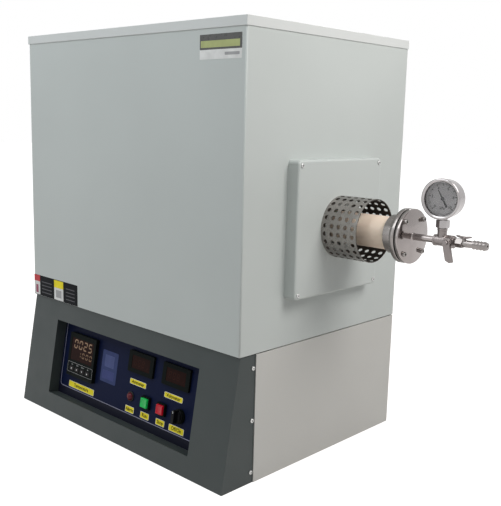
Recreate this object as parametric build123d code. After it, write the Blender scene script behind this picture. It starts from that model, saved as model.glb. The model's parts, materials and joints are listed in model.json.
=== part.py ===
"""Laboratory tube furnace: a cabinet on a sloping console, with a horizontal ceramic work tube.

Millimetres. The origin is on the floor at the centre of the cabinet's footprint. +X points towards
the gauge end of the work tube, -Y towards the operator and +Z up.
"""
from build123d import *
import os
from math import atan2, cos, degrees, hypot, pi, radians, sin, tan

# ---- cabinet -------------------------------------------------------------------------------------
CABINET_W = 670.0          # outside width, along the work tube
CABINET_D = 480.0          # outside depth
LOWER_H = 246.0            # floor to the seam between the lower and the upper housing
UPPER_H = 565.0            # seam to the underside of the cap
CAP_H = 17.0               # height of the cap on top
CAP_OVERHANG = 1.6         # how far the cap stands out all round
SHEET = 2.0                # gauge of all cabinet sheet
SEAM_GAP = 2.0             # height of the shadow gap, which is the deck plate's own thickness
SEAM_INSET = 4.5           # how far the deck's edge lies behind the cabinet faces
LIP = 18.0                 # width of the folded lips
CORNER_R = 3.0             # bend radius of the upright front corners
FIT = 0.5                  # assembly gap between a lip and the sheet beside it
PAN_WALL_H = 30.0          # height of the base pan's turned-up walls
POST_LEG = 30.0            # leg width of the angle posts
POST_T = 3.0               # leg thickness of the angle posts

# ---- console -------------------------------------------------------------------------------------
CONSOLE_REACH = 36.4       # how far the console's foot stands in front of the cabinet
CHEEK_BACK = 43.6          # visible depth of the cheek behind the cabinet front
CHEEK_LAP = 12.0           # hidden lap of the cheek behind the lower side panel
WINDOW_W = 470.0           # window in the sloping face
WINDOW_H = 166.0
WINDOW_TOP = 41.5          # from the face's top edge, measured down the slope
RECESS = 25.0              # depth of the window recess
PANEL_T = 2.0              # control panel thickness
PANEL_LAP = 8.0            # how far the control panel runs past the window
CHEEK_SCREW_Z = (21.0, 121.0, 220.0)
CHEEK_SCREW_INSET = 6.0    # from the visible rear edge of the cheek

# ---- instruments on the control panel, x from the centre and s down the slope --------------------
CONTROLLER_X, CONTROLLER_S = -152.5, 110.0
CONTROLLER_SIZE = 96.0
CONTROLLER_BEZEL_T = 9.0
CONTROLLER_BODY = 90.0
CONTROLLER_DEPTH = 65.0
DISPLAY_W, DISPLAY_H = 80.0, 50.0
DISPLAY_RISE = 13.0        # centre of the display above the controller's centre
POCKET_DEPTH = 3.0         # depth of the display and key pockets
KEY_NAMES = ("set_key", "shift_key", "down_key", "up_key")
KEY_W, KEY_H = 14.0, 9.0
KEY_PITCH = 19.5
KEY_DROP = 31.0            # centre of the keys below the controller's centre
KEY_PROUD = 1.2
KEY_TRAVEL = 0.8
KEY_GAP = 0.3
PANE_DROP = 0.5            # how far a window pane lies below its bezel
MOULD_R = 2.0              # corner radius of moulded bezels
AMMETER_X, VOLTMETER_X = 45.5, 153.5
METER_S = 78.5
METER_W, METER_H = 79.0, 44.0
METER_BEZEL_T = 5.0
METER_BODY_W, METER_BODY_H, METER_DEPTH = 75.0, 40.0, 45.0
METER_WINDOW_W, METER_WINDOW_H = 57.0, 27.0
ALARM_X, ALARM_S = 22.0, 152.0
ALARM_R, ALARM_H = 10.5, 8.0
RUN_X, STOP_X, BUTTON_S = 74.0, 122.5, 151.5
BUTTON_BEZEL = 25.0
BUTTON_BEZEL_H = 6.0
BUTTON_CAP = 19.0
BUTTON_PROUD = 4.0
BUTTON_TRAVEL = 3.0
BUTTON_GAP = 0.3
BUTTON_BODY_R, BUTTON_DEPTH = 10.8, 32.0
BUTTON_RIM = 1.5           # floor of the housing under the cap
BUTTON_CORNER_R = 1.5
CAP_EDGE_R = 1.0
SELECTOR_X, SELECTOR_S = 175.0, 151.0
SELECTOR_BASE_R, SELECTOR_BASE_H = 14.5, 4.5
SELECTOR_KNOB_R, SELECTOR_KNOB_H = 12.5, 7.0
SELECTOR_BAR_L, SELECTOR_BAR_W, SELECTOR_BAR_H = 27.0, 8.0, 9.0
SELECTOR_SHAFT_R = 3.0
RUNNING_GAP = 0.05         # radial running clearance of every turning shaft
FACE_GAP = 0.3             # axial clearance beside every turning part

# ---- side covers and guards ----------------------------------------------------------------------
AXIS_RISE = 217.5          # work tube axis above the seam
COVER_SIZE = 254.0
COVER_DEPTH = 26.0
COVER_SHEET = 1.5
COVER_CORNER_R = 8.0
COVER_SCREW = 118.0        # screw distance from the axis, along Y and along Z
SCREW_HEAD_R, SCREW_HEAD_H = 4.0, 2.2
SCREW_SHANK_R = 2.0
SCREW_HOLE_R = 2.2
SCREW_BITE = 6.0           # how far a shank runs past what it clamps
GUARD_R = 58.75            # outside radius of the perforated guard
GUARD_T = 1.2
GUARD_LENGTH = 79.0
GUARD_FLANGE_W = 10.0
HOLE_ACROSS = 8.4          # perforation, corner to corner
HOLES_ROUND = 24
HOLE_ROWS = 5
HOLE_PITCH = 15.3
HOLE_FIRST = 8.9           # first row from the cover face

# ---- work tube, chamber and heating --------------------------------------------------------------
TUBE_R = 30.0
TUBE_BORE_R = 25.0
TUBE_OVERHANG = 165.0      # from the cabinet side to the tube's end
TUBE_GAP = 0.3             # radial gap where the tube lies in the insulation
TUBE_PASS_GAP = 6.0        # radial gap where the tube passes sheet metal
CASING_L, CASING_W, CASING_H = 560.0, 400.0, 400.0
CASING_LEGS = 20.0
CASING_LEG_R = 10.0
INSULATION_GAP = 3.0       # all round, between the insulation and the casing
CHAMBER_L, CHAMBER_W, CHAMBER_H = 320.0, 160.0, 230.0
ELEMENT_X = (-80.0, 80.0)
ELEMENT_Y = 56.0
ELEMENT_SPACING = 50.0     # between the two legs of one element
ELEMENT_HOT_R = 3.0
ELEMENT_TERMINAL_R = 6.0
BRIDGE_DROP = 95.0         # underside of the bridge below the tube axis
BRIDGE_W, BRIDGE_H = 16.0, 12.0
ELEMENT_STUB = 14.0        # terminal length that stands inside the chamber
ELEMENT_TAIL = 45.0        # terminal length above the insulation
ELEMENT_GAP = 0.5
HOLDER_W, HOLDER_H = 24.0, 20.0
PROBE_R = 4.0
PROBE_GAP = 4.0            # between the probe's tip and the work tube
PROBE_HEAD_R, PROBE_HEAD_H = 26.0, 30.0

# ---- flanges -------------------------------------------------------------------------------------
NECK_START = 144.0         # all from the cabinet side, along the tube axis
NECK_R = 35.0
RING_START = 167.5
RING_T = 9.5
FLANGE_R = 49.0
FLANGE_CHAMFER = 1.0
GASKET_T = 2.5
GASKET_R = 47.5
CAP_T = 7.0
SEAL_START = 8.0           # from the neck's mouth
SEAL_T = 5.0
SEAL_DEPTH = 3.0
BOLT_CIRCLE_R = 40.5
BOLT_R, BOLT_HEAD_R, BOLT_HEAD_H = 2.5, 4.3, 5.0
BOLT_SOCKET = 4.0
BOLT_SOCKET_DEPTH = 2.5
PIPE_R = 6.0
PIPE_BORE_R = 3.0

# ---- gas fittings, X from the cabinet side -------------------------------------------------------
TEE_START = 229.0
TEE_R = 10.2
TEE_LENGTH = 23.0
GAUGE_X = 243.0
BOSS_R = 8.6
BOSS_TOP = 22.0            # above the tube axis
STEM_NUT_ACROSS = 20.0
STEM_NUT_H = 14.0
SPIGOT_R, SPIGOT_L = 5.0, 9.0
VALVE_LENGTH = 16.0
VALVE_ACROSS = 19.0
BONNET_R, BONNET_REACH = 6.5, 12.5
LEVER_SPINDLE_R, LEVER_SPINDLE_L = 3.0, 8.0
LEVER_W, LEVER_T = 13.0, 5.0
LEVER_UP, LEVER_DOWN = 8.0, 35.0
LEVER_BEVEL = 5.0
LEVER_TILT = 14.0          # rest angle from hanging straight down
LEVER_NUT_ACROSS, LEVER_NUT_H = 8.0, 3.0
LINK_R, LINK_LENGTH = 5.0, 3.5
HEX_ACROSS, HEX_LENGTH = 15.0, 12.5
BARREL_R, BARREL_LENGTH = 6.4, 18.5
HOSE_BARBS = 4
BARB_PITCH = 6.2
BARB_ROOT_R, BARB_CREST_R = 6.2, 7.8
NOZZLE_BORE_R, NOZZLE_BORE_L = 2.0, 20.0
WING_SPAN, WING_T, WING_H = 29.0, 3.0, 5.0
WING_TIP_H = 2.5           # height of a wing at its outer end
WING_RISE = 0.2            # the handle's seat above the hexagon
WING_SPINDLE_R, WING_SPINDLE_L = 2.0, 4.0
WING_HUB_R, WING_HUB_H = 4.0, 3.0

# ---- pressure gauge ------------------------------------------------------------------------------
GAUGE_TURN = 5.0           # how far the face is turned from -Y towards +X
GAUGE_CASE_R = 33.0
GAUGE_CASE_T = 2.0
GAUGE_BACK = -13.0         # along the facing direction from the stem's axis
GAUGE_RIM = 12.5
GAUGE_GAP = 1.0            # between the stem's hexagon and the bezel
BEZEL_R, BEZEL_DEPTH = 35.0, 6.0
BEZEL_INNER_R = 29.5
BEZEL_ROUND = 2.5
GLASS_T = 2.0
DIAL_R, DIAL_T, DIAL_AT = 30.6, 1.0, 5.5
NEEDLE_TIP, NEEDLE_TAIL = 17.0, 16.0
NEEDLE_W, NEEDLE_TIP_W, NEEDLE_TAIL_W = 2.8, 0.9, 3.8
NEEDLE_T = 0.8
NEEDLE_HUB_R = 3.0
NEEDLE_HUB_H = 2.2
NEEDLE_PIN_R = 1.0
NEEDLE_REST = 31.0         # rest angle, anticlockwise from the top of the dial

# ---- electrical parts in the base ----------------------------------------------------------------
FAN_SIZE = 120.0
FAN_DEPTH = 38.0
FAN_CORNER_R = 6.0
FAN_DUCT_R = 57.0
FAN_TIP_GAP = 2.0
FAN_HUB_R, FAN_HUB_L = 22.0, 26.0
FAN_BLADES = 7
FAN_BLADE_T = 2.0
FAN_BLADE_PITCH = 38.0
FAN_SHAFT_R, FAN_SHAFT_L = 4.0, 20.0
FAN_FROM_LEFT, FAN_Z = 135.0, 120.0
FAN_MOUNT_R = 26.0
FAN_STRUT_W = 8.0
FAN_STRUT_T = 4.0
GRILLE_SLOTS = 4
GRILLE_SLOT_W = 7.0
GRILLE_RIB_W = 4.0
GRILLE_SPOKE_W = 6.0
GRILLE_T = 1.5
TRANSFORMER_FROM_RIGHT, TRANSFORMER_Y = 215.0, -20.0
CORE_L, CORE_W, CORE_H = 150.0, 60.0, 130.0
CORE_LEG = 32.0
COIL_W = 110.0
COIL_CORNER_R = 8.0
REGULATOR_FROM_LEFT, REGULATOR_Y = 275.0, 20.0
REGULATOR_L, REGULATOR_W, REGULATOR_H = 110.0, 90.0, 40.0
HEATSINK_BASE, FIN_H, FIN_T, FIN_COUNT = 8.0, 45.0, 2.5, 9
CONTACTOR_FROM_LEFT, CONTACTOR_FROM_FRONT = 105.0, 180.0
CONTACTOR_L, CONTACTOR_W, CONTACTOR_H = 75.0, 90.0, 85.0
CONTACTOR_STEP = 18.0
TERMINAL_FROM_RIGHT, TERMINAL_FROM_REAR = 100.0, 70.0
TERMINAL_COUNT, TERMINAL_PITCH = 6, 16.0
TERMINAL_W, TERMINAL_H = 32.0, 24.0
WELL_W = 11.0              # width of a wire well
GLAND_FROM_RIGHT, GLAND_Z = 100.0, 70.0
GLAND_BORE_R, GLAND_THREAD_R, GLAND_NUT_ACROSS = 6.5, 10.0, 28.0
GLAND_NUT_L, GLAND_DOME_L, GLAND_DOME_R = 10.0, 12.0, 11.0
GLAND_EDGE = 3.0           # chamfer of the dome nut
EARTH_FROM_RIGHT, EARTH_Z = 155.0, 70.0
EARTH_R, EARTH_L, EARTH_NUT_ACROSS, EARTH_NUT_H = 3.0, 22.0, 10.0, 5.0
LOUVRE_W, LOUVRE_H, LOUVRE_PITCH = 110.0, 6.0, 16.0
LOUVRE_COUNT = 8
LOUVRE_FROM_SIDE = 145.0
LOUVRE_TOP_DROP = 60.0     # first louvre below the top of the upper rear panel

# ---- places worked out from the sizes above ------------------------------------------------------
HW, HD = CABINET_W / 2, CABINET_D / 2
AXIS_Z = LOWER_H + AXIS_RISE
LOWER_TOP = LOWER_H - SEAM_GAP / 2
UPPER_BOTTOM = LOWER_H + SEAM_GAP / 2
UPPER_TOP = LOWER_H + UPPER_H
CONSOLE_FOOT_Y = -HD - CONSOLE_REACH
CONSOLE_TOP_Y = -HD + SEAM_INSET
CHEEK_EDGE_Y = -HD + CHEEK_BACK
CHEEK_END_Y = CHEEK_EDGE_Y + CHEEK_LAP
CHEEK_X = HW - SHEET
SLOPE = atan2(CONSOLE_TOP_Y - CONSOLE_FOOT_Y, LOWER_TOP)
FACE = Plane(
    origin=(0, CONSOLE_TOP_Y, LOWER_TOP), x_dir=(1, 0, 0), z_dir=(0, -cos(SLOPE), sin(SLOPE))
)
PANEL_FRONT = -RECESS
COVER_FACE_X = HW + COVER_DEPTH
TUBE_END_X = HW + TUBE_OVERHANG
RING_FACE_X = HW + RING_START + RING_T
CAP_FACE_X = RING_FACE_X + GASKET_T + CAP_T
VALVE_START = TEE_START + TEE_LENGTH
VALVE_END = VALVE_START + VALVE_LENGTH
LEVER_X = HW + VALVE_START + VALVE_LENGTH / 2
HEX_START = VALVE_END + LINK_LENGTH
BARREL_START = HEX_START + HEX_LENGTH
BARB_START = BARREL_START + BARREL_LENGTH
WING_X = BARREL_START
FAN_X = -HW + FAN_FROM_LEFT
TRANSFORMER_X = HW - TRANSFORMER_FROM_RIGHT
REGULATOR_X = -HW + REGULATOR_FROM_LEFT
CONTACTOR_X, CONTACTOR_Y = -HW + CONTACTOR_FROM_LEFT, -HD + CONTACTOR_FROM_FRONT
TERMINAL_X, TERMINAL_Y = HW - TERMINAL_FROM_RIGHT, HD - TERMINAL_FROM_REAR
GLAND_X = HW - GLAND_FROM_RIGHT
EARTH_X = HW - EARTH_FROM_RIGHT
LOUVRE_X = (-HW + LOUVRE_FROM_SIDE, 0.0, HW - LOUVRE_FROM_SIDE)
CASING_BOTTOM = UPPER_BOTTOM + CASING_LEGS
INSULATION_TOP = CASING_BOTTOM + CASING_H
WING_SEAT = HEX_ACROSS / 2 + WING_RISE
GAUGE_CENTRE_Z = AXIS_Z + BOSS_TOP + STEM_NUT_H + BEZEL_R + GAUGE_GAP
GAUGE = Plane(
    origin=(HW + GAUGE_X, 0, GAUGE_CENTRE_Z),
    x_dir=(cos(radians(GAUGE_TURN)), sin(radians(GAUGE_TURN)), 0),
    z_dir=(sin(radians(GAUGE_TURN)), -cos(radians(GAUGE_TURN)), 0),
)


# ---- small makers --------------------------------------------------------------------------------
def block(x0, x1, y0, y1, z0, z1):
    """A box between two corners."""
    centre = Pos((x0 + x1) / 2, (y0 + y1) / 2, (z0 + z1) / 2)
    return centre * Box(x1 - x0, y1 - y0, z1 - z0)


def rod_x(radius, x0, x1, y=0.0, z=AXIS_Z):
    """A round bar along X."""
    return Pos((x0 + x1) / 2, y, z) * Rot(0, 90, 0) * Cylinder(radius, x1 - x0)


def rod_y(radius, y0, y1, x, z):
    """A round bar along Y."""
    return Pos(x, (y0 + y1) / 2, z) * Rot(90, 0, 0) * Cylinder(radius, y1 - y0)


def rod_z(radius, z0, z1, x=0.0, y=0.0):
    """A round bar along Z."""
    return Pos(x, y, (z0 + z1) / 2) * Cylinder(radius, z1 - z0)


def hexagon(across, length):
    """A hexagonal prism on Z, standing on its XY plane."""
    return extrude(RegularPolygon(across / 2, 6, major_radius=False), length)


def hex_x(across, x0, x1, y=0.0, z=AXIS_Z):
    """A hexagonal bar along X."""
    return Pos(x0, y, z) * Rot(0, 90, 0) * hexagon(across, x1 - x0)


def on_face(x, s, z0, shape):
    """Puts a shape that stands on its own XY plane at x and s of the sloping face, z0 above it."""
    return FACE * Pos(x, -s, z0) * shape


def raised(width, height, depth):
    """A rectangular block that stands on its own XY plane."""
    return Pos(0, 0, depth / 2) * Box(width, height, depth)


def disc(radius, depth):
    """A disc that stands on its own XY plane."""
    return Pos(0, 0, depth / 2) * Cylinder(radius, depth)


def other_side(shape):
    """The same piece at the far end of the work tube."""
    return mirror(shape, about=Plane.YZ)


def group(solids):
    """Separate solids in one node."""
    return Compound(children=list(solids))


# ---- cabinet -------------------------------------------------------------------------------------
def base_frame():
    """Floor tray with the welded corner posts, narrower in front, inside the console's cheeks."""
    front_y = CONSOLE_FOOT_Y + PAN_WALL_H * tan(SLOPE) + 2 * SHEET
    step_y = CHEEK_END_Y + FIT
    rear = HD - SHEET
    wide = HW - SHEET
    narrow = HW - 2 * SHEET
    outline = Pos(0, (step_y + rear) / 2) * Rectangle(2 * wide, rear - step_y)
    outline += Pos(0, (front_y + step_y) / 2) * Rectangle(2 * narrow, step_y - front_y)
    inside = offset(outline, -SHEET, kind=Kind.INTERSECTION)
    pan = extrude(outline, PAN_WALL_H) - Pos(0, 0, SHEET) * extrude(inside, PAN_WALL_H)
    for post in frame_posts():
        pan += post
    for side in (-1, 1):
        pan -= cheek_screw_holes(side)
    return pan


def cheek_screw_holes(side):
    """Clearance holes for the screws along a cheek's rear edge."""
    y = CHEEK_EDGE_Y - CHEEK_SCREW_INSET
    x0 = side * (HW - 4 * SHEET - 2 * POST_T)
    return [rod_x(SCREW_HOLE_R, min(x0, side * HW), max(x0, side * HW), y, z) for z in CHEEK_SCREW_Z]


def frame_posts():
    """Four angle posts that stand in the pan and carry the deck."""
    posts = []
    front_x = HW - 3 * SHEET
    rear_x = HW - 2 * SHEET
    front_y = CHEEK_EDGE_Y - CHEEK_SCREW_INSET - POST_LEG / 2
    rear_y = HD - 2 * SHEET
    for side in (-1, 1):
        front = block(front_x - POST_T, front_x, front_y, front_y + POST_LEG, SHEET, LOWER_TOP)
        front += block(front_x - POST_LEG, front_x, front_y, front_y + POST_T, SHEET, LOWER_TOP)
        rear = block(rear_x - POST_T, rear_x, rear_y - POST_LEG, rear_y, SHEET, LOWER_TOP)
        rear += block(rear_x - POST_LEG, rear_x, rear_y - POST_T, rear_y, SHEET, LOWER_TOP)
        for post in (front, rear):
            posts.append(post if side > 0 else other_side(post))
    return posts


def lower_side_panels():
    """Lower sides: each a sheet with a folded lip along its top edge, between the posts."""
    rear = HD - SHEET
    panel = block(HW - SHEET, HW, CHEEK_EDGE_Y, HD, 0, LOWER_TOP)
    lip_start = CHEEK_EDGE_Y + POST_LEG + CHEEK_LAP
    lip_end = rear - SHEET - POST_LEG - FIT
    panel += block(HW - SHEET - LIP, HW, lip_start, lip_end, LOWER_TOP - SHEET, LOWER_TOP)
    return group([panel, other_side(panel)])


def console_prism(half_width, inset, rear_y):
    """The console's solid outline, inset all round by a sheet gauge where it is the inside."""
    shift = inset / cos(SLOPE)
    profile = Polyline(
        (CONSOLE_FOOT_Y + shift, 0),
        (CONSOLE_TOP_Y + shift, LOWER_TOP),
        (rear_y, LOWER_TOP),
        (rear_y, 0),
        close=True,
    )
    return Plane.YZ * Pos(0, 0, -half_width) * extrude(make_face(profile), 2 * half_width)


def console_housing():
    """Sloping front sheet with both cheeks, a top lip and the walls of the window recess."""
    housing = console_prism(CHEEK_X, 0, CHEEK_END_Y)
    inside = console_prism(CHEEK_X - SHEET, SHEET, CHEEK_END_Y + 1)
    lip = console_prism(CHEEK_X - SHEET, SHEET, CONSOLE_TOP_Y + LIP)
    lip -= block(-HW, HW, -2 * HD, HD, -1, LOWER_TOP - SHEET)
    housing = housing - inside + lip
    centre_s = WINDOW_TOP + WINDOW_H / 2
    sleeve = raised(WINDOW_W + 2 * SHEET, WINDOW_H + 2 * SHEET, RECESS)
    housing += on_face(0, centre_s, -RECESS, sleeve)
    housing -= on_face(0, centre_s, -RECESS - 1, raised(WINDOW_W, WINDOW_H, RECESS + 2))
    for side in (-1, 1):
        housing -= cheek_screw_holes(side)
    return housing


def control_panel():
    """The instrument plate behind the window, with its cut-outs."""
    centre_s = WINDOW_TOP + WINDOW_H / 2
    size = (WINDOW_W + 2 * PANEL_LAP, WINDOW_H + 2 * PANEL_LAP)
    plate = on_face(0, centre_s, PANEL_FRONT - PANEL_T, raised(*size, PANEL_T))
    back = PANEL_FRONT - PANEL_T - 1
    through = PANEL_T + 2
    plate -= on_face(CONTROLLER_X, CONTROLLER_S, back, raised(CONTROLLER_BODY, CONTROLLER_BODY, through))
    for x in (AMMETER_X, VOLTMETER_X):
        plate -= on_face(x, METER_S, back, raised(METER_BODY_W, METER_BODY_H, through))
    for x, s in ((RUN_X, BUTTON_S), (STOP_X, BUTTON_S), (SELECTOR_X, SELECTOR_S)):
        plate -= on_face(x, s, back, disc(BUTTON_BODY_R, through))
    return plate


def deck_plate():
    """The plate between the lower and the upper housing; its edge is the dark seam."""
    return block(
        -HW + SEAM_INSET, HW - SEAM_INSET, -HD + SEAM_INSET, HD - SEAM_INSET, LOWER_TOP, UPPER_BOTTOM
    )


def upper_shell():
    """Front and both sides of the upper housing in one folded sheet, with lips at top and bottom."""
    shell = block(-HW, HW, -HD, HD, UPPER_BOTTOM, UPPER_TOP)
    corners = shell.edges().filter_by(Axis.Z).sort_by(Axis.Y)[:2]
    shell = fillet(corners, CORNER_R)
    shell -= block(-HW + SHEET, HW - SHEET, -HD + SHEET, HD + 1, UPPER_BOTTOM + SHEET, UPPER_TOP - SHEET)
    shell -= block(-HW + LIP, HW - LIP, -HD + LIP, HD + 1, UPPER_BOTTOM - 1, UPPER_TOP + 1)
    shell -= block(-HW + SHEET, HW - SHEET, HD - SHEET - FIT, HD + 1, UPPER_BOTTOM - 1, UPPER_TOP + 1)
    for side in (-1, 1):
        shell -= rod_x(TUBE_R + TUBE_PASS_GAP, min(0, side * (HW + 1)), max(0, side * (HW + 1)))
        for hole in cover_screws(side, SCREW_HOLE_R):
            shell -= hole
    return shell


def top_cover():
    """Shallow tray turned upside down, with a return lip that rests on the upper shell."""
    x, y = HW + CAP_OVERHANG, HD + CAP_OVERHANG
    top = UPPER_TOP + CAP_H
    cover = block(-x, x, -y, y, UPPER_TOP, top)
    cover -= block(-x + SHEET, x - SHEET, -y + SHEET, y - SHEET, UPPER_TOP + SHEET, top - SHEET)
    cover -= block(-x + LIP, x - LIP, -y + LIP, y - LIP, UPPER_TOP - 1, UPPER_TOP + SHEET + 1)
    return cover


def upper_rear_panel():
    """Rear sheet of the upper housing with three columns of louvre slots."""
    panel = block(-HW + SHEET, HW - SHEET, HD - SHEET, HD, UPPER_BOTTOM, UPPER_TOP)
    for x in LOUVRE_X:
        for row in range(LOUVRE_COUNT):
            z = UPPER_TOP - LOUVRE_TOP_DROP - row * LOUVRE_PITCH
            panel -= block(x - LOUVRE_W / 2, x + LOUVRE_W / 2, HD - 2 * SHEET, HD + 1, z - LOUVRE_H, z)
    return panel


def lower_rear_panel():
    """Rear sheet of the base with openings for the fan, the supply gland and the earth stud."""
    panel = block(-HW + SHEET, HW - SHEET, HD - SHEET, HD, 0, LOWER_TOP)
    panel -= rod_y(FAN_DUCT_R, HD - 2 * SHEET, HD + 1, FAN_X, FAN_Z)
    panel -= rod_y(GLAND_THREAD_R, HD - 2 * SHEET, HD + 1, GLAND_X, GLAND_Z)
    panel -= rod_y(EARTH_R, HD - 2 * SHEET, HD + 1, EARTH_X, EARTH_Z)
    return panel


# ---- screws --------------------------------------------------------------------------------------
def cover_screws(side, shank_r, head=False):
    """Shanks, or whole screws, at the four corners of a side cover."""
    made = []
    inner = HW - SHEET - SCREW_BITE
    for y in (-COVER_SCREW, COVER_SCREW):
        for z in (AXIS_Z - COVER_SCREW, AXIS_Z + COVER_SCREW):
            screw = rod_x(shank_r, inner, COVER_FACE_X, y, z)
            if head:
                screw += rod_x(SCREW_HEAD_R, COVER_FACE_X, COVER_FACE_X + SCREW_HEAD_H, y, z)
            made.append(screw if side > 0 else other_side(screw))
    return made


def sheet_screws():
    """The pan-head screws of both side covers and both cheeks."""
    screws = cover_screws(1, SCREW_SHANK_R, head=True) + cover_screws(-1, SCREW_SHANK_R, head=True)
    y = CHEEK_EDGE_Y - CHEEK_SCREW_INSET
    for z in CHEEK_SCREW_Z:
        screw = rod_x(SCREW_SHANK_R, HW - 3 * SHEET - POST_T - SCREW_BITE / 2, CHEEK_X, y, z)
        screw += rod_x(SCREW_HEAD_R, CHEEK_X, CHEEK_X + SCREW_HEAD_H, y, z)
        screws += [screw, other_side(screw)]
    return group(screws)


# ---- side cover and guard ------------------------------------------------------------------------
def side_cover():
    """Pressed box over the tube's passage through the right side, open towards the cabinet."""
    half = COVER_SIZE / 2
    cover = block(HW, COVER_FACE_X, -half, half, AXIS_Z - half, AXIS_Z + half)
    cover = fillet(cover.edges().filter_by(Axis.X), COVER_CORNER_R)
    cover = fillet(cover.faces().sort_by(Axis.X)[-1].edges(), COVER_CORNER_R / 2)
    inner = half - COVER_SHEET
    hollow = block(
        HW - 1, COVER_FACE_X - COVER_SHEET, -inner, inner, AXIS_Z - inner, AXIS_Z + inner
    )
    hollow = fillet(hollow.edges().filter_by(Axis.X), COVER_CORNER_R - COVER_SHEET)
    hollow = fillet(hollow.faces().sort_by(Axis.X)[-1].edges(), COVER_CORNER_R / 2 - COVER_SHEET)
    cover -= hollow
    cover -= rod_x(TUBE_R + TUBE_PASS_GAP, HW, COVER_FACE_X + 1)
    for hole in cover_screws(1, SCREW_HOLE_R):
        cover -= hole
    return cover


def tube_guard():
    """Perforated sleeve round the hot end of the tube, with a turned-in flange against the side cover."""
    end_x = COVER_FACE_X + GUARD_LENGTH
    guard = rod_x(GUARD_R, COVER_FACE_X, end_x)
    guard -= rod_x(GUARD_R - GUARD_T, COVER_FACE_X + GUARD_T, end_x + 1)
    guard -= rod_x(GUARD_R - GUARD_T - GUARD_FLANGE_W, COVER_FACE_X - 1, end_x)
    punch = extrude(RegularPolygon(HOLE_ACROSS / 2, 6), GUARD_R + 1, both=True)
    punches = []
    for row in range(HOLE_ROWS):
        x = COVER_FACE_X + HOLE_FIRST + row * HOLE_PITCH
        for step in range(HOLES_ROUND // 2):
            angle = 360.0 * (step + 0.5) / HOLES_ROUND
            punches.append(Pos(x, 0, AXIS_Z) * Rot(angle, 0, 0) * punch)
    return guard.cut(*punches)


# ---- chamber -------------------------------------------------------------------------------------
def work_tube():
    """Ceramic work tube, open at both ends."""
    return rod_x(TUBE_R, -TUBE_END_X, TUBE_END_X) - rod_x(TUBE_BORE_R, -TUBE_END_X - 1, TUBE_END_X + 1)


def inner_casing():
    """Steel tray on four legs that holds the insulation away from the outer housing."""
    x, y = CASING_L / 2, CASING_W / 2
    casing = block(-x, x, -y, y, CASING_BOTTOM, INSULATION_TOP)
    inner_x, inner_y = x - SHEET, y - SHEET
    casing -= block(-inner_x, inner_x, -inner_y, inner_y, CASING_BOTTOM + SHEET, INSULATION_TOP + 1)
    casing -= rod_x(TUBE_R + TUBE_PASS_GAP, -x - 1, x + 1)
    leg_x, leg_y = x - 2 * CASING_LEG_R, y - 2 * CASING_LEG_R
    for at_x in (-leg_x, leg_x):
        for at_y in (-leg_y, leg_y):
            casing += rod_z(CASING_LEG_R, UPPER_BOTTOM, CASING_BOTTOM, at_x, at_y)
    return casing


def insulation_halves():
    """Fibre blocks below and above the tube, with the heated chamber between them."""
    x, y = CASING_L / 2 - SHEET - INSULATION_GAP, CASING_W / 2 - SHEET - INSULATION_GAP
    chamber = block(
        -CHAMBER_L / 2,
        CHAMBER_L / 2,
        -CHAMBER_W / 2,
        CHAMBER_W / 2,
        AXIS_Z - CHAMBER_H / 2,
        AXIS_Z + CHAMBER_H / 2,
    )
    passage = rod_x(TUBE_R + TUBE_GAP, -x - 1, x + 1)
    lower = block(-x, x, -y, y, CASING_BOTTOM + SHEET, AXIS_Z) - chamber - passage
    upper = block(-x, x, -y, y, AXIS_Z, INSULATION_TOP) - chamber - passage
    upper -= rod_z(PROBE_R + ELEMENT_GAP, AXIS_Z, INSULATION_TOP + 1)
    for at_x, at_y in element_legs():
        upper -= rod_z(ELEMENT_TERMINAL_R + ELEMENT_GAP, AXIS_Z, INSULATION_TOP + 1, at_x, at_y)
    return lower, upper


def element_legs():
    """Plan positions of all element legs."""
    half = ELEMENT_SPACING / 2
    return [(x + d, y) for x in ELEMENT_X for y in (-ELEMENT_Y, ELEMENT_Y) for d in (-half, half)]


def heating_elements():
    """Four hanging elements: thick terminals above, thin hot rods and a bridge that joins them below."""
    half = ELEMENT_SPACING / 2
    bridge_z = AXIS_Z - BRIDGE_DROP
    step_z = AXIS_Z + CHAMBER_H / 2 - ELEMENT_STUB
    top_z = INSULATION_TOP + ELEMENT_TAIL
    reach = half + BRIDGE_W / 2
    elements = []
    for x in ELEMENT_X:
        for y in (-ELEMENT_Y, ELEMENT_Y):
            y0, y1 = y - BRIDGE_W / 2, y + BRIDGE_W / 2
            element = block(x - reach, x + reach, y0, y1, bridge_z, bridge_z + BRIDGE_H)
            for leg_x in (x - half, x + half):
                element += rod_z(ELEMENT_HOT_R, bridge_z, step_z, leg_x, y)
                element += rod_z(ELEMENT_TERMINAL_R, step_z, top_z, leg_x, y)
            elements.append(element)
    return group(elements)


def element_holders():
    """Ceramic clamps on top of the insulation, one to each element."""
    half = ELEMENT_SPACING / 2
    reach = half + HOLDER_W / 2
    z0, z1 = INSULATION_TOP, INSULATION_TOP + HOLDER_H
    holders = []
    for x in ELEMENT_X:
        for y in (-ELEMENT_Y, ELEMENT_Y):
            holder = block(x - reach, x + reach, y - HOLDER_W / 2, y + HOLDER_W / 2, z0, z1)
            for leg_x in (x - half, x + half):
                holder -= rod_z(ELEMENT_TERMINAL_R, z0 - 1, z1 + 1, leg_x, y)
            holders.append(holder)
    return group(holders)


def thermocouple():
    """Ceramic-sheathed probe that ends just above the work tube, below its connection head."""
    probe = rod_z(PROBE_R, AXIS_Z + TUBE_R + PROBE_GAP, INSULATION_TOP)
    probe += rod_z(PROBE_HEAD_R, INSULATION_TOP, INSULATION_TOP + PROBE_HEAD_H)
    return probe


# ---- flanges and gas fittings --------------------------------------------------------------------
def bolt_places():
    """Y and Z offsets of the four flange bolts."""
    reach = BOLT_CIRCLE_R * cos(pi / 4)
    return [(y, z) for y in (-reach, reach) for z in (-reach, reach)]


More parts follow.
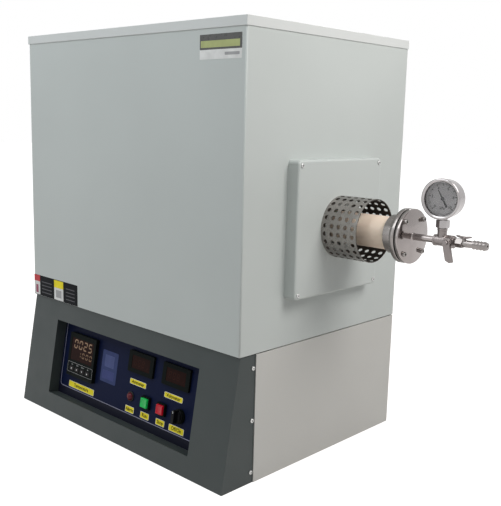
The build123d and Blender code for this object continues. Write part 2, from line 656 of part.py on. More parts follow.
def flange_ring():
    """Neck that slides over the tube's end, with the bolting ring and the seal's groove."""
    start = HW + NECK_START
    ring = rod_x(NECK_R, start, HW + RING_START)
    disc_part = rod_x(FLANGE_R, HW + RING_START, RING_FACE_X)
    ring += chamfer(disc_part.edges().filter_by(GeomType.CIRCLE), FLANGE_CHAMFER)
    ring -= rod_x(TUBE_R + TUBE_GAP, start - 1, RING_FACE_X + 1)
    ring -= rod_x(TUBE_R + SEAL_DEPTH, start + SEAL_START, start + SEAL_START + SEAL_T)
    for y, z in bolt_places():
        ring -= rod_x(BOLT_R, HW + RING_START - 1, RING_FACE_X + 1, y, AXIS_Z + z)
    return ring


def flange_cap():
    """Blind disc with the gas pipe welded to its centre."""
    start = RING_FACE_X + GASKET_T
    cap = rod_x(FLANGE_R, start, CAP_FACE_X)
    cap = chamfer(cap.edges().filter_by(GeomType.CIRCLE), FLANGE_CHAMFER)
    cap += rod_x(PIPE_R, CAP_FACE_X - 1, HW + TEE_START)
    cap -= rod_x(PIPE_BORE_R, start - 1, HW + TEE_START - PIPE_BORE_R)
    for y, z in bolt_places():
        cap -= rod_x(BOLT_R, start - 1, CAP_FACE_X + 1, y, AXIS_Z + z)
    return cap


def flange_seals():
    """Gasket between ring and cap, and the rubber ring that grips the tube, at both ends."""
    gasket = rod_x(GASKET_R, RING_FACE_X, RING_FACE_X + GASKET_T)
    gasket -= rod_x(TUBE_R + TUBE_GAP, RING_FACE_X - 1, RING_FACE_X + GASKET_T + 1)
    for y, z in bolt_places():
        gasket -= rod_x(BOLT_R, RING_FACE_X - 1, RING_FACE_X + GASKET_T + 1, y, AXIS_Z + z)
    start = HW + NECK_START + SEAL_START
    seal = rod_x(TUBE_R + SEAL_DEPTH, start, start + SEAL_T)
    seal -= rod_x(TUBE_R, start - 1, start + SEAL_T + 1)
    return group([gasket, seal, other_side(gasket), other_side(seal)])


def flange_bolts():
    """Socket-head bolts through cap, gasket and ring, four at each end."""
    bolts = []
    for y, z in bolt_places():
        bolt = rod_x(BOLT_R, HW + RING_START, CAP_FACE_X, y, AXIS_Z + z)
        bolt += rod_x(BOLT_HEAD_R, CAP_FACE_X, CAP_FACE_X + BOLT_HEAD_H, y, AXIS_Z + z)
        socket_end = CAP_FACE_X + BOLT_HEAD_H + 1
        bolt -= hex_x(BOLT_SOCKET, socket_end - 1 - BOLT_SOCKET_DEPTH, socket_end, y, AXIS_Z + z)
        bolts += [bolt, other_side(bolt)]
    return group(bolts)


def gauge_tee():
    """Tee on the gas pipe with an upright boss for the gauge."""
    x = HW + TEE_START
    tee = rod_x(TEE_R, x, x + TEE_LENGTH)
    tee += rod_z(BOSS_R, AXIS_Z, AXIS_Z + BOSS_TOP, HW + GAUGE_X)
    tee -= rod_z(SPIGOT_R, AXIS_Z + BOSS_TOP - SPIGOT_L, AXIS_Z + BOSS_TOP + 1, HW + GAUGE_X)
    return tee


def ball_valve_body():
    """Hexagonal shut-off body with a bonnet that faces the operator."""
    valve = hex_x(VALVE_ACROSS, HW + VALVE_START, HW + VALVE_END)
    valve += rod_y(BONNET_R, -BONNET_REACH, 0, LEVER_X, AXIS_Z)
    bore_end = -BONNET_REACH + LEVER_SPINDLE_L + FACE_GAP
    return valve - rod_y(LEVER_SPINDLE_R + RUNNING_GAP, -BONNET_REACH - 1, bore_end, LEVER_X, AXIS_Z)


def ball_valve_lever():
    """Flat lever with a bevelled end on its spindle, hanging down at its rest tilt."""
    outline = Polyline(
        (-LEVER_W / 2, LEVER_UP - LEVER_BEVEL),
        (-LEVER_W / 2 + LEVER_BEVEL, LEVER_UP),
        (LEVER_W / 2 - LEVER_BEVEL, LEVER_UP),
        (LEVER_W / 2, LEVER_UP - LEVER_BEVEL),
        (LEVER_W / 2, -LEVER_DOWN),
        (0, -LEVER_DOWN),
        (-LEVER_W / 2, -LEVER_DOWN + LEVER_BEVEL),
        close=True,
    )
    lever = Plane.XZ * extrude(make_face(outline), LEVER_T)
    lever = Pos(0, -BONNET_REACH - FACE_GAP, 0) * lever
    lever += rod_y(LEVER_SPINDLE_R, -BONNET_REACH - FACE_GAP, -BONNET_REACH + LEVER_SPINDLE_L, 0, 0)
    nut = Plane.XZ * hexagon(LEVER_NUT_ACROSS, LEVER_NUT_H)
    lever += Pos(0, -BONNET_REACH - FACE_GAP - LEVER_T, 0) * nut
    return Pos(LEVER_X, 0, AXIS_Z) * Rot(0, -LEVER_TILT, 0) * lever


def nozzle_valve(link_start):
    """Small valve body on X: link pipe, hexagon, barrel and ribbed hose nozzle with a blind bore."""
    hex_start = link_start + LINK_LENGTH
    barrel_start = hex_start + HEX_LENGTH
    barb_start = barrel_start + BARREL_LENGTH
    body = rod_x(LINK_R, link_start, hex_start)
    flat_up = Pos(0, 0, AXIS_Z) * Rot(30, 0, 0)
    body += flat_up * hex_x(HEX_ACROSS, hex_start, barrel_start, z=0)
    body += rod_x(BARREL_R, barrel_start, barb_start)
    for barb in range(HOSE_BARBS):
        x = barb_start + barb * BARB_PITCH
        cone = Rot(0, 90, 0) * Cone(BARB_CREST_R, BARB_ROOT_R, BARB_PITCH)
        body += Pos(x + BARB_PITCH / 2, 0, AXIS_Z) * cone
    end = barb_start + HOSE_BARBS * BARB_PITCH
    body -= rod_x(NOZZLE_BORE_R, end - NOZZLE_BORE_L, end + 1)
    seat_z = AXIS_Z + WING_SEAT
    body += rod_z(WING_HUB_R, AXIS_Z, seat_z, barrel_start)
    bore_z = seat_z - WING_SPINDLE_L - FACE_GAP
    body -= rod_z(WING_SPINDLE_R + RUNNING_GAP, bore_z, seat_z + 1, barrel_start)
    return body


def wing_handle(x):
    """Butterfly handle on its spindle, turned along the pipe."""
    z = AXIS_Z + WING_SEAT + FACE_GAP
    handle = rod_z(WING_HUB_R, z, z + WING_HUB_H, x)
    handle += rod_z(WING_SPINDLE_R, AXIS_Z + WING_SEAT - WING_SPINDLE_L, z, x)
    half = WING_SPAN / 2
    outline = Polyline(
        (-half, WING_H),
        (-half, WING_H - WING_TIP_H),
        (-WING_HUB_R, 0),
        (WING_HUB_R, 0),
        (half, WING_H - WING_TIP_H),
        (half, WING_H),
        close=True,
    )
    wings = Plane.XZ * extrude(make_face(outline), WING_T / 2, both=True)
    return handle + Pos(x, 0, z) * wings


# ---- gauge ---------------------------------------------------------------------------------------
def gauge_case():
    """Round cup with the hexagonal stem and its threaded spigot."""
    case = GAUGE * Pos(0, 0, GAUGE_BACK) * disc(GAUGE_CASE_R, GAUGE_RIM - GAUGE_BACK)
    x = HW + GAUGE_X
    nut_z = AXIS_Z + BOSS_TOP
    case += Pos(x, 0, nut_z) * hexagon(STEM_NUT_ACROSS, STEM_NUT_H)
    case += rod_z(BOSS_R - 1, nut_z + STEM_NUT_H - 1, GAUGE_CENTRE_Z - GAUGE_CASE_R / 2, x)
    case += rod_z(SPIGOT_R, nut_z - SPIGOT_L, nut_z, x)
    hollow = disc(GAUGE_CASE_R - GAUGE_CASE_T, GAUGE_RIM - GAUGE_BACK)
    return case - GAUGE * Pos(0, 0, GAUGE_BACK + GAUGE_CASE_T) * hollow


def gauge_bezel():
    """Polished ring that clamps the glass to the case."""
    ring = Pos(0, 0, GAUGE_RIM) * disc(BEZEL_R, BEZEL_DEPTH)
    ring = fillet(ring.edges().filter_by(GeomType.CIRCLE).sort_by(Axis.Z)[-1], BEZEL_ROUND)
    ring -= Pos(0, 0, GAUGE_RIM - 1) * disc(BEZEL_INNER_R, BEZEL_DEPTH + 2)
    ring -= Pos(0, 0, GAUGE_RIM - 1) * disc(GAUGE_CASE_R - GAUGE_CASE_T, GLASS_T + 1)
    return GAUGE * ring


def gauge_glass():
    """Flat window in the bezel's rebate."""
    return GAUGE * Pos(0, 0, GAUGE_RIM) * disc(GAUGE_CASE_R - GAUGE_CASE_T, GLASS_T)


def gauge_dial():
    """Dial plate on the movement's pillar, with the arbor that the needle turns on."""
    dial = Pos(0, 0, DIAL_AT) * disc(DIAL_R, DIAL_T)
    dial += Pos(0, 0, GAUGE_BACK + GAUGE_CASE_T) * disc(DIAL_R / 2, DIAL_AT - GAUGE_BACK - GAUGE_CASE_T)
    dial += Pos(0, 0, DIAL_AT) * disc(NEEDLE_PIN_R, DIAL_T + FACE_GAP + NEEDLE_HUB_H)
    return GAUGE * dial


def gauge_needle():
    """Tapered needle with a broad tail, turning on the arbor."""
    blade = Polyline(
        (-NEEDLE_TIP_W / 2, NEEDLE_TIP),
        (NEEDLE_TIP_W / 2, NEEDLE_TIP),
        (NEEDLE_W / 2, 0),
        (NEEDLE_TAIL_W / 2, -NEEDLE_TAIL),
        (-NEEDLE_TAIL_W / 2, -NEEDLE_TAIL),
        (-NEEDLE_W / 2, 0),
        close=True,
    )
    needle = extrude(make_face(blade), NEEDLE_T) + disc(NEEDLE_HUB_R, NEEDLE_HUB_H)
    needle -= Pos(0, 0, -1) * disc(NEEDLE_PIN_R + RUNNING_GAP, NEEDLE_HUB_H + 2)
    return GAUGE * Pos(0, 0, DIAL_AT + DIAL_T + FACE_GAP) * Rot(0, 0, NEEDLE_REST) * needle


# ---- instruments ---------------------------------------------------------------------------------
def key_places():
    """X and s of the four keys."""
    first = CONTROLLER_X - KEY_PITCH * (len(KEY_NAMES) - 1) / 2
    return [(first + i * KEY_PITCH, CONTROLLER_S + KEY_DROP) for i in range(len(KEY_NAMES))]


def temperature_controller():
    """Bezel and body of the temperature controller, with pockets for the display and the keys."""
    bezel = raised(CONTROLLER_SIZE, CONTROLLER_SIZE, CONTROLLER_BEZEL_T)
    bezel = fillet(bezel.edges().filter_by(Axis.Z), MOULD_R)
    front = PANEL_FRONT + CONTROLLER_BEZEL_T
    body = on_face(CONTROLLER_X, CONTROLLER_S, PANEL_FRONT, bezel)
    rear = raised(CONTROLLER_BODY, CONTROLLER_BODY, CONTROLLER_DEPTH)
    body += on_face(CONTROLLER_X, CONTROLLER_S, PANEL_FRONT - CONTROLLER_DEPTH, rear)
    pocket = raised(DISPLAY_W, DISPLAY_H, POCKET_DEPTH + 1)
    body -= on_face(CONTROLLER_X, CONTROLLER_S - DISPLAY_RISE, front - POCKET_DEPTH, pocket)
    for x, s in key_places():
        well = raised(KEY_W + 2 * KEY_GAP, KEY_H + 2 * KEY_GAP, POCKET_DEPTH + 1)
        body -= on_face(x, s, front - POCKET_DEPTH, well)
    return body


def controller_key(x, s):
    """One key in its well, held off the floor by its travel."""
    floor = PANEL_FRONT + CONTROLLER_BEZEL_T - POCKET_DEPTH
    lift = KEY_TRAVEL + FACE_GAP
    return on_face(x, s, floor + lift, raised(KEY_W, KEY_H, POCKET_DEPTH - lift + KEY_PROUD))


def panel_meter(x):
    """Digital panel meter: bezel with a window pocket, and its body behind the panel."""
    bezel = fillet(raised(METER_W, METER_H, METER_BEZEL_T).edges().filter_by(Axis.Z), MOULD_R)
    meter = on_face(x, METER_S, PANEL_FRONT, bezel)
    body = raised(METER_BODY_W, METER_BODY_H, METER_DEPTH)
    meter += on_face(x, METER_S, PANEL_FRONT - METER_DEPTH, body)
    pocket = raised(METER_WINDOW_W, METER_WINDOW_H, POCKET_DEPTH + 1)
    return meter - on_face(x, METER_S, PANEL_FRONT + METER_BEZEL_T - POCKET_DEPTH, pocket)


def display_windows():
    """Filter windows of the controller and of both meters."""
    thickness = POCKET_DEPTH - PANE_DROP
    floor = PANEL_FRONT + CONTROLLER_BEZEL_T - POCKET_DEPTH
    pane = raised(DISPLAY_W, DISPLAY_H, thickness)
    panes = [on_face(CONTROLLER_X, CONTROLLER_S - DISPLAY_RISE, floor, pane)]
    floor = PANEL_FRONT + METER_BEZEL_T - POCKET_DEPTH
    for x in (AMMETER_X, VOLTMETER_X):
        panes.append(on_face(x, METER_S, floor, raised(METER_WINDOW_W, METER_WINDOW_H, thickness)))
    return group(panes)


def alarm_lamp():
    """Domed alarm lamp on the panel."""
    lamp = disc(ALARM_R, ALARM_H)
    lamp = fillet(lamp.edges().filter_by(GeomType.CIRCLE).sort_by(Axis.Z)[-1], ALARM_H / 2)
    return on_face(ALARM_X, ALARM_S, PANEL_FRONT, lamp)


def button_housing(x):
    """Square housing of a push button with its barrel behind the panel."""
    inner = BUTTON_CAP + 2 * BUTTON_GAP
    housing = raised(BUTTON_BEZEL, BUTTON_BEZEL, BUTTON_BEZEL_H)
    shape = fillet(housing.edges().filter_by(Axis.Z), BUTTON_CORNER_R)
    shape += Pos(0, 0, -BUTTON_DEPTH) * disc(BUTTON_BODY_R, BUTTON_DEPTH)
    shape -= Pos(0, 0, BUTTON_RIM) * raised(inner, inner, BUTTON_BEZEL_H)
    return on_face(x, BUTTON_S, PANEL_FRONT, shape)


def push_button(x):
    """Square lit cap that travels in its housing."""
    lift = BUTTON_RIM + BUTTON_TRAVEL + FACE_GAP
    height = BUTTON_BEZEL_H + BUTTON_PROUD - lift
    cap = raised(BUTTON_CAP, BUTTON_CAP, height)
    cap = fillet(cap.faces().sort_by(Axis.Z)[-1].edges() + cap.edges().filter_by(Axis.Z), CAP_EDGE_R)
    return on_face(x, BUTTON_S, PANEL_FRONT + lift, cap)


def selector_base():
    """Fixed collar and barrel of the rotary selector, bored for the knob's shaft."""
    base = disc(SELECTOR_BASE_R, SELECTOR_BASE_H)
    base += Pos(0, 0, -BUTTON_DEPTH) * disc(BUTTON_BODY_R, BUTTON_DEPTH)
    bore = disc(SELECTOR_SHAFT_R + RUNNING_GAP, 3 * SELECTOR_BASE_H)
    base -= Pos(0, 0, -SELECTOR_BASE_H - FACE_GAP) * bore
    return on_face(SELECTOR_X, SELECTOR_S, PANEL_FRONT, base)


def selector_knob():
    """Round knob with a grip bar, on its shaft."""
    knob = disc(SELECTOR_KNOB_R, SELECTOR_KNOB_H)
    bar = Pos(0, 0, SELECTOR_KNOB_H) * raised(SELECTOR_BAR_W, SELECTOR_BAR_L, SELECTOR_BAR_H)
    knob += fillet(bar.edges().filter_by(Axis.Z), SELECTOR_BAR_W / 3)
    shaft_l = 2 * SELECTOR_BASE_H
    knob += Pos(0, 0, -shaft_l) * disc(SELECTOR_SHAFT_R, shaft_l)
    return on_face(SELECTOR_X, SELECTOR_S, PANEL_FRONT + SELECTOR_BASE_H + FACE_GAP, knob)


# ---- electrical parts ----------------------------------------------------------------------------
def fan_frame():
    """Square fan housing with its duct, and the motor plate on struts that carries the shaft."""
    front = HD - SHEET
    back = front - FAN_DEPTH
    half = FAN_SIZE / 2
    frame = block(FAN_X - half, FAN_X + half, back, front, FAN_Z - half, FAN_Z + half)
    frame = fillet(frame.edges().filter_by(Axis.Y), FAN_CORNER_R)
    frame -= rod_y(FAN_DUCT_R, back - 1, front + 1, FAN_X, FAN_Z)
    for turn in (45, 135):
        strut = Box(2 * FAN_DUCT_R + FAN_STRUT_W, FAN_STRUT_T, FAN_STRUT_W)
        frame += Pos(FAN_X, back + FAN_STRUT_T / 2, FAN_Z) * Rot(0, turn, 0) * strut
    frame += rod_y(FAN_MOUNT_R, back, back + FAN_STRUT_T, FAN_X, FAN_Z)
    frame += rod_y(FAN_SHAFT_R, back, back + FAN_STRUT_T + FAN_SHAFT_L, FAN_X, FAN_Z)
    return frame


def fan_rotor():
    """Hub with pitched blades, bored for the shaft."""
    start = HD - SHEET - FAN_DEPTH + FAN_STRUT_T + FACE_GAP
    tip_r = FAN_DUCT_R - FAN_TIP_GAP
    hub = Cylinder(FAN_HUB_R, FAN_HUB_L)
    blade_l = tip_r - FAN_HUB_R + FAN_HUB_R / 2
    blade = Rot(FAN_BLADE_PITCH, 0, 0) * Box(blade_l, 2 * FAN_HUB_L, FAN_BLADE_T)
    blade = Pos(tip_r - blade_l / 2, 0, 0) * blade
    sweep_zone = Cylinder(tip_r, FAN_HUB_L)
    rotor = hub
    for i in range(FAN_BLADES):
        rotor += Rot(0, 0, 360.0 * i / FAN_BLADES) * blade & sweep_zone
    bore_l = FAN_SHAFT_L + FACE_GAP
    rotor -= Pos(0, 0, (bore_l - FAN_HUB_L) / 2 - FACE_GAP) * Cylinder(FAN_SHAFT_R + RUNNING_GAP, bore_l)
    return Pos(FAN_X, start + FAN_HUB_L / 2, FAN_Z) * Rot(-90, 0, 0) * rotor


def fan_grille():
    """Stamped finger guard on the rear panel: ring slots between four spokes."""
    half = FAN_SIZE / 2
    grille = block(FAN_X - half, FAN_X + half, HD, HD + GRILLE_T, FAN_Z - half, FAN_Z + half)
    grille = fillet(grille.edges().filter_by(Axis.Y), FAN_CORNER_R)
    spokes = Box(2 * half, GRILLE_T, GRILLE_SPOKE_W) + Box(GRILLE_SPOKE_W, GRILLE_T, 2 * half)
    outer = FAN_DUCT_R - GRILLE_RIB_W
    for i in range(GRILLE_SLOTS):
        slot = rod_y(outer, HD - 1, HD + GRILLE_T + 1, FAN_X, FAN_Z)
        slot -= rod_y(outer - GRILLE_SLOT_W, HD - 2, HD + GRILLE_T + 2, FAN_X, FAN_Z)
        grille -= slot
        outer -= GRILLE_SLOT_W + GRILLE_RIB_W
    return grille + Pos(FAN_X, HD + GRILLE_T / 2, FAN_Z) * spokes


def transformer():
    """Laminated core with its two windings, standing on the pan."""
    x0, x1 = TRANSFORMER_X - CORE_L / 2, TRANSFORMER_X + CORE_L / 2
    y0, y1 = TRANSFORMER_Y - CORE_W / 2, TRANSFORMER_Y + CORE_W / 2
    core = block(x0, x1, y0, y1, SHEET, SHEET + CORE_H)
    hole = CORE_L / 2 - 1.5 * CORE_LEG
    low, high = SHEET + CORE_LEG, SHEET + CORE_H - CORE_LEG
    for side in (-1, 1):
        centre = TRANSFORMER_X + side * (CORE_LEG / 2 + hole / 2)
        core -= block(centre - hole / 2, centre + hole / 2, y0 - 1, y1 + 1, low, high)
    coil_x, coil_y = CORE_LEG / 2 + hole, COIL_W / 2
    coil = Pos(TRANSFORMER_X, TRANSFORMER_Y, (low + high) / 2) * Box(2 * coil_x, 2 * coil_y, high - low)
    coil = fillet(coil.edges().filter_by(Axis.Z), COIL_CORNER_R)
    return core + coil


def power_regulator():
    """Thyristor module on a finned heatsink."""
    x0, x1 = REGULATOR_X - REGULATOR_L / 2, REGULATOR_X + REGULATOR_L / 2
    y0, y1 = REGULATOR_Y - REGULATOR_W / 2, REGULATOR_Y + REGULATOR_W / 2
    base_z = SHEET + FIN_H
    sink = block(x0, x1, y0, y1, base_z, base_z + HEATSINK_BASE)
    pitch = (REGULATOR_W - FIN_T) / (FIN_COUNT - 1)
    for i in range(FIN_COUNT):
        y = y0 + i * pitch
        sink += block(x0, x1, y, y + FIN_T, SHEET, base_z)
    margin = REGULATOR_L / 8
    top = base_z + HEATSINK_BASE
    return sink + block(x0 + margin, x1 - margin, y0 + margin, y1 - margin, top, top + REGULATOR_H)


def contactor():
    """Mains contactor with a stepped front."""
    x0, y0 = CONTACTOR_X - CONTACTOR_L / 2, CONTACTOR_Y - CONTACTOR_W / 2
    x1, y1 = x0 + CONTACTOR_L, y0 + CONTACTOR_W
    body = block(x0, x1, y0, y1, SHEET, SHEET + CONTACTOR_H)
    step_z = SHEET + CONTACTOR_H - CONTACTOR_STEP
    for a, b in ((y0 - 1, y0 + CONTACTOR_STEP), (y1 - CONTACTOR_STEP, y1 + 1)):
        body -= block(x0 - 1, x1 + 1, a, b, step_z, SHEET + CONTACTOR_H + 1)
    return body


def terminal_block():
    """Supply terminals: a ridged bar with a well for each wire."""
    length = TERMINAL_COUNT * TERMINAL_PITCH
    x0, y0 = TERMINAL_X - length / 2, TERMINAL_Y - TERMINAL_W / 2
    bar = block(x0, x0 + length, y0, y0 + TERMINAL_W, SHEET, SHEET + TERMINAL_H)
    well_z = SHEET + TERMINAL_H / 2
    for i in range(TERMINAL_COUNT):
        x = x0 + (i + 0.5) * TERMINAL_PITCH
        for a, b in ((y0 - 1, y0 + TERMINAL_W / 3), (y0 + TERMINAL_W * 2 / 3, y0 + TERMINAL_W + 1)):
            bar -= block(x - WELL_W / 2, x + WELL_W / 2, a, b, well_z, SHEET + TERMINAL_H + 1)
    return bar


def supply_gland():
    """Cable gland in the lower rear panel: thread, inside nut, outside hexagon and dome."""
    inner = HD - SHEET - GLAND_NUT_L / 2
    gland = rod_y(GLAND_THREAD_R, inner, HD, GLAND_X, GLAND_Z)
    for nut_y, length in ((HD - SHEET, GLAND_NUT_L / 2), (HD + GLAND_NUT_L, GLAND_NUT_L)):
        gland += Pos(GLAND_X, nut_y, GLAND_Z) * (Plane.XZ * hexagon(GLAND_NUT_ACROSS, length))
    dome_end = HD + GLAND_NUT_L + GLAND_DOME_L
    dome = rod_y(GLAND_DOME_R, HD + GLAND_NUT_L, dome_end, GLAND_X, GLAND_Z)
    gland += chamfer(dome.edges().filter_by(GeomType.CIRCLE).sort_by(Axis.Y)[-1], GLAND_EDGE)
    return gland - rod_y(GLAND_BORE_R, inner - 1, dome_end + 1, GLAND_X, GLAND_Z)


def earth_stud():
    """Protective earth stud with a nut on each side of the rear panel."""
    stud = rod_y(EARTH_R, HD - SHEET - EARTH_NUT_H, HD + EARTH_L, EARTH_X, EARTH_Z)
    nut = Plane.XZ * hexagon(EARTH_NUT_ACROSS, EARTH_NUT_H)
    return stud + Pos(EARTH_X, HD - SHEET, EARTH_Z) * nut + Pos(EARTH_X, HD + EARTH_NUT_H, EARTH_Z) * nut


def build():
    """Every node by name."""
    lower, upper = insulation_halves()
    cover, guard = side_cover(), tube_guard()
    ring, cap = flange_ring(), flange_cap()
    inlet_start = HW + TEE_START
    nodes = {
        "base_frame": base_frame(),
        "lower_side_panels": lower_side_panels(),
        "console_housing": console_housing(),
        "control_panel": control_panel(),
        "deck_plate": deck_plate(),
        "upper_shell": upper_shell(),
        "top_cover": top_cover(),
        "upper_rear_panel": upper_rear_panel(),
        "lower_rear_panel": lower_rear_panel(),
        "sheet_screws": sheet_screws(),
        "side_cover_right": cover,
        "side_cover_left": other_side(cover),
        "tube_guard_right": guard,
        "tube_guard_left": other_side(guard),
        "work_tube": work_tube(),
        "inner_casing": inner_casing(),
        "insulation_lower": lower,
        "insulation_upper": upper,
        "heating_elements": heating_elements(),
        "element_holders": element_holders(),
        "thermocouple": thermocouple(),
        "flange_ring_right": ring,
        "flange_ring_left": other_side(ring),
        "flange_cap_right": cap,
        "flange_cap_left": other_side(cap),
        "flange_seals": flange_seals(),
        "flange_bolts": flange_bolts(),
        "gauge_tee": gauge_tee(),
        "ball_valve_body": ball_valve_body(),
        "ball_valve_lever": ball_valve_lever(),
        "outlet_valve_body": nozzle_valve(HW + VALVE_END),
        "outlet_valve_handle": wing_handle(HW + WING_X),
        "inlet_valve_body": other_side(nozzle_valve(inlet_start)),
        "inlet_valve_handle": other_side(wing_handle(inlet_start + LINK_LENGTH + HEX_LENGTH)),
        "gauge_case": gauge_case(),
        "gauge_bezel": gauge_bezel(),
        "gauge_glass": gauge_glass(),
        "gauge_dial": gauge_dial(),
        "gauge_needle": gauge_needle(),
        "temperature_controller": temperature_controller(),
        "display_windows": display_windows(),
        "panel_meters": group([panel_meter(AMMETER_X), panel_meter(VOLTMETER_X)]),
        "alarm_lamp": alarm_lamp(),
        "switch_housings": group([button_housing(RUN_X), button_housing(STOP_X), selector_base()]),
        "run_button": push_button(RUN_X),
        "stop_button": push_button(STOP_X),
        "selector_knob": selector_knob(),
        "cooling_fan_frame": fan_frame(),
        "cooling_fan_rotor": fan_rotor(),
        "fan_grille": fan_grille(),
        "transformer": transformer(),
        "power_regulator": power_regulator(),
        "contactor": contactor(),
        "terminal_block": terminal_block(),
        "supply_gland": supply_gland(),
        "earth_stud": earth_stud(),
    }
    for name, (x, s) in zip(KEY_NAMES, key_places()):
        nodes[name] = controller_key(x, s)
    return nodes


os.makedirs("parts", exist_ok=True)
for name, shape in build().items():
    export_step(shape, f"parts/{name}.step")
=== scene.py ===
"""Looks of a laboratory tube furnace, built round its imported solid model.

Each sub-assembly is a class that holds its own sizes, builds its meshes and dresses them. Sizes are
millimetres in the model's own frame, and a mesh is scaled to metres when it is finished. The origin is on
the floor under the cabinet, +X points to the gauge end and -Y to the operator.
"""

from __future__ import annotations

import json
import logging
import math
from dataclasses import dataclass
from enum import Enum
from typing import Iterable, Iterator, Sequence

import bmesh
import bpy
from mathutils import Matrix, Vector

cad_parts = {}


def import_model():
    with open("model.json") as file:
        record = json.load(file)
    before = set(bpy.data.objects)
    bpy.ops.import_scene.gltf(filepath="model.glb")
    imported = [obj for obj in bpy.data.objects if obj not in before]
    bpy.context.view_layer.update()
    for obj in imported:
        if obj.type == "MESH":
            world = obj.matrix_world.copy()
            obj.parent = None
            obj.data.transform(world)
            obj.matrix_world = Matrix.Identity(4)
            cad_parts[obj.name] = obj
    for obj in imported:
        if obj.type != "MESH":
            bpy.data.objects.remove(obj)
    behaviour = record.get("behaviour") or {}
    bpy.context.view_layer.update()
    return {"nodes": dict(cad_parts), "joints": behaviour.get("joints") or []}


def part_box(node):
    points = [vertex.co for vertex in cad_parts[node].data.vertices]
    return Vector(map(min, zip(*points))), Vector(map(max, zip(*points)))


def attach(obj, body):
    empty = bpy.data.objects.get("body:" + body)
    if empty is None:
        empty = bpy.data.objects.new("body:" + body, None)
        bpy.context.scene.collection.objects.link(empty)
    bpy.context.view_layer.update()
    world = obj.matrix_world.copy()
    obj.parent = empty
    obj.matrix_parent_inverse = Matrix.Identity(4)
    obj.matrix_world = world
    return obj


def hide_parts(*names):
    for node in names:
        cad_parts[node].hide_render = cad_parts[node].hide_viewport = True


LOG = logging.getLogger("tube_furnace")
MM = 0.001
SMOOTH_ANGLE = math.radians(32)
BEVEL_ANGLE = math.radians(40)
HALF_WIDTH = 335.0
AXIS_Z = 463.5
TEE_START = 229.0
HERE = Matrix.Identity(4)
TO_METRES = Matrix.Scale(MM, 4)
FORWARD = Matrix.Rotation(math.pi / 2, 4, "X")
HALF_FLAT = Matrix.Rotation(math.pi / 6, 4, "Z")
Triple = tuple[float, float, float]
Pair = tuple[float, float]
Ring = tuple[float, ...]
Row = list[bmesh.types.BMVert]
Socket = bpy.types.NodeSocket


class Side(Enum):
    """The two ends of the work tube, by the sign of X."""

    RIGHT = 1
    LEFT = -1

    @property
    def word(self) -> str:
        """The side's name as the solid model's nodes spell it."""
        return self.name.lower()


# ---- finishes ------------------------------------------------------------------------------------------------
class Shader:
    """A procedural material under construction, with the few node recipes that the finishes share."""

    def __init__(self, name: str, **values: object) -> None:
        """Start a material.

        Args:
            name: the material's name.
            **values: values of the surface's sockets; an underscore in a name stands for a space.
        """
        self.material = bpy.data.materials.new(name)
        self.material.use_nodes = True
        self.tree = self.material.node_tree
        self.surface = self.tree.nodes["Principled BSDF"]
        self.place = self.tree.nodes.new("ShaderNodeTexCoord").outputs["Object"]
        for key, value in values.items():
            whole = (*value, 1.0) if isinstance(value, tuple) else value
            self.surface.inputs[key.replace("_", " ")].default_value = whole

    def node(self, kind: str, **values: object) -> bpy.types.Node:
        """Add a node.

        Args:
            kind: the node type without its "ShaderNode" prefix.
            **values: input values by socket name, with underscores for spaces.

        Returns:
            The new node.
        """
        made = self.tree.nodes.new("ShaderNode" + kind)
        for key, value in values.items():
            made.inputs[key.replace("_", " ")].default_value = value
        return made

    def link(self, source: Socket, target: Socket) -> None:
        """Join two sockets."""
        self.tree.links.new(source, target)

    def noise(self, scale: float, detail: float = 2.0, stretch: Triple | None = None) -> Socket:
        """A noise pattern.

        Args:
            scale: cycles per metre.
            detail: octaves.
            stretch: factor on each axis, if the pattern is drawn out.

        Returns:
            The pattern's value socket.
        """
        made = self.node("TexNoise", Scale=scale, Detail=detail)
        vector = self.place
        if stretch:
            mapping = self.node("Mapping", Scale=stretch)
            self.link(vector, mapping.inputs["Vector"])
            vector = mapping.outputs["Vector"]
        self.link(vector, made.inputs["Vector"])
        return made.outputs["Fac"]

    def colour(self, fac: Socket, dark: Triple, light: Triple) -> None:
        """Drive the base colour from a pattern.

        Args:
            fac: the pattern.
            dark: colour at its low end.
            light: colour at its high end.
        """
        ramp = self.node("ValToRGB")
        for element, position, colour in zip(ramp.color_ramp.elements, (0.3, 0.7), (dark, light)):
            element.position = position
            element.color = (*colour, 1)
        self.link(fac, ramp.inputs["Fac"])
        self.link(ramp.outputs["Color"], self.surface.inputs["Base Color"])

    def rough(self, fac: Socket, low: float, high: float) -> None:
        """Drive the roughness from a pattern.

        Args:
            fac: the pattern.
            low: roughness at its low end.
            high: roughness at its high end.
        """
        made = self.node("MapRange", From_Min=0.3, From_Max=0.7, To_Min=low, To_Max=high)
        self.link(fac, made.inputs["Value"])
        self.link(made.outputs["Result"], self.surface.inputs["Roughness"])

    def bump(self, height: Socket, depth: float, strength: float) -> None:
        """Drive the surface's normal from a height pattern.

        Args:
            height: the pattern.
            depth: its height in metres.
            strength: share of the effect.
        """
        made = self.node("Bump", Strength=strength, Distance=depth)
        self.link(height, made.inputs["Height"])
        self.link(made.outputs["Normal"], self.surface.inputs["Normal"])


@dataclass(frozen=True)
class Finish:
    """A named look with a clouded colour and an uneven roughness."""

    name: str
    colour: Triple
    roughness: float = 0.4

    def skin(self, shader: Shader, tones: Pair, cloud: Pair, spread: Pair, patches: Pair) -> None:
        """Vary the colour and the roughness over the surface.

        Args:
            shader: the material.
            tones: darkest and lightest share of the colour.
            cloud: scale and detail of the colour's pattern.
            spread: how far the roughness falls and rises.
            patches: scale and detail of the roughness's pattern.
        """
        dark, light = (tuple(min(1.0, c * tone) for c in self.colour) for tone in tones)
        shader.colour(shader.noise(*cloud), dark, light)
        shader.rough(shader.noise(*patches), self.roughness - spread[0], self.roughness + spread[1])


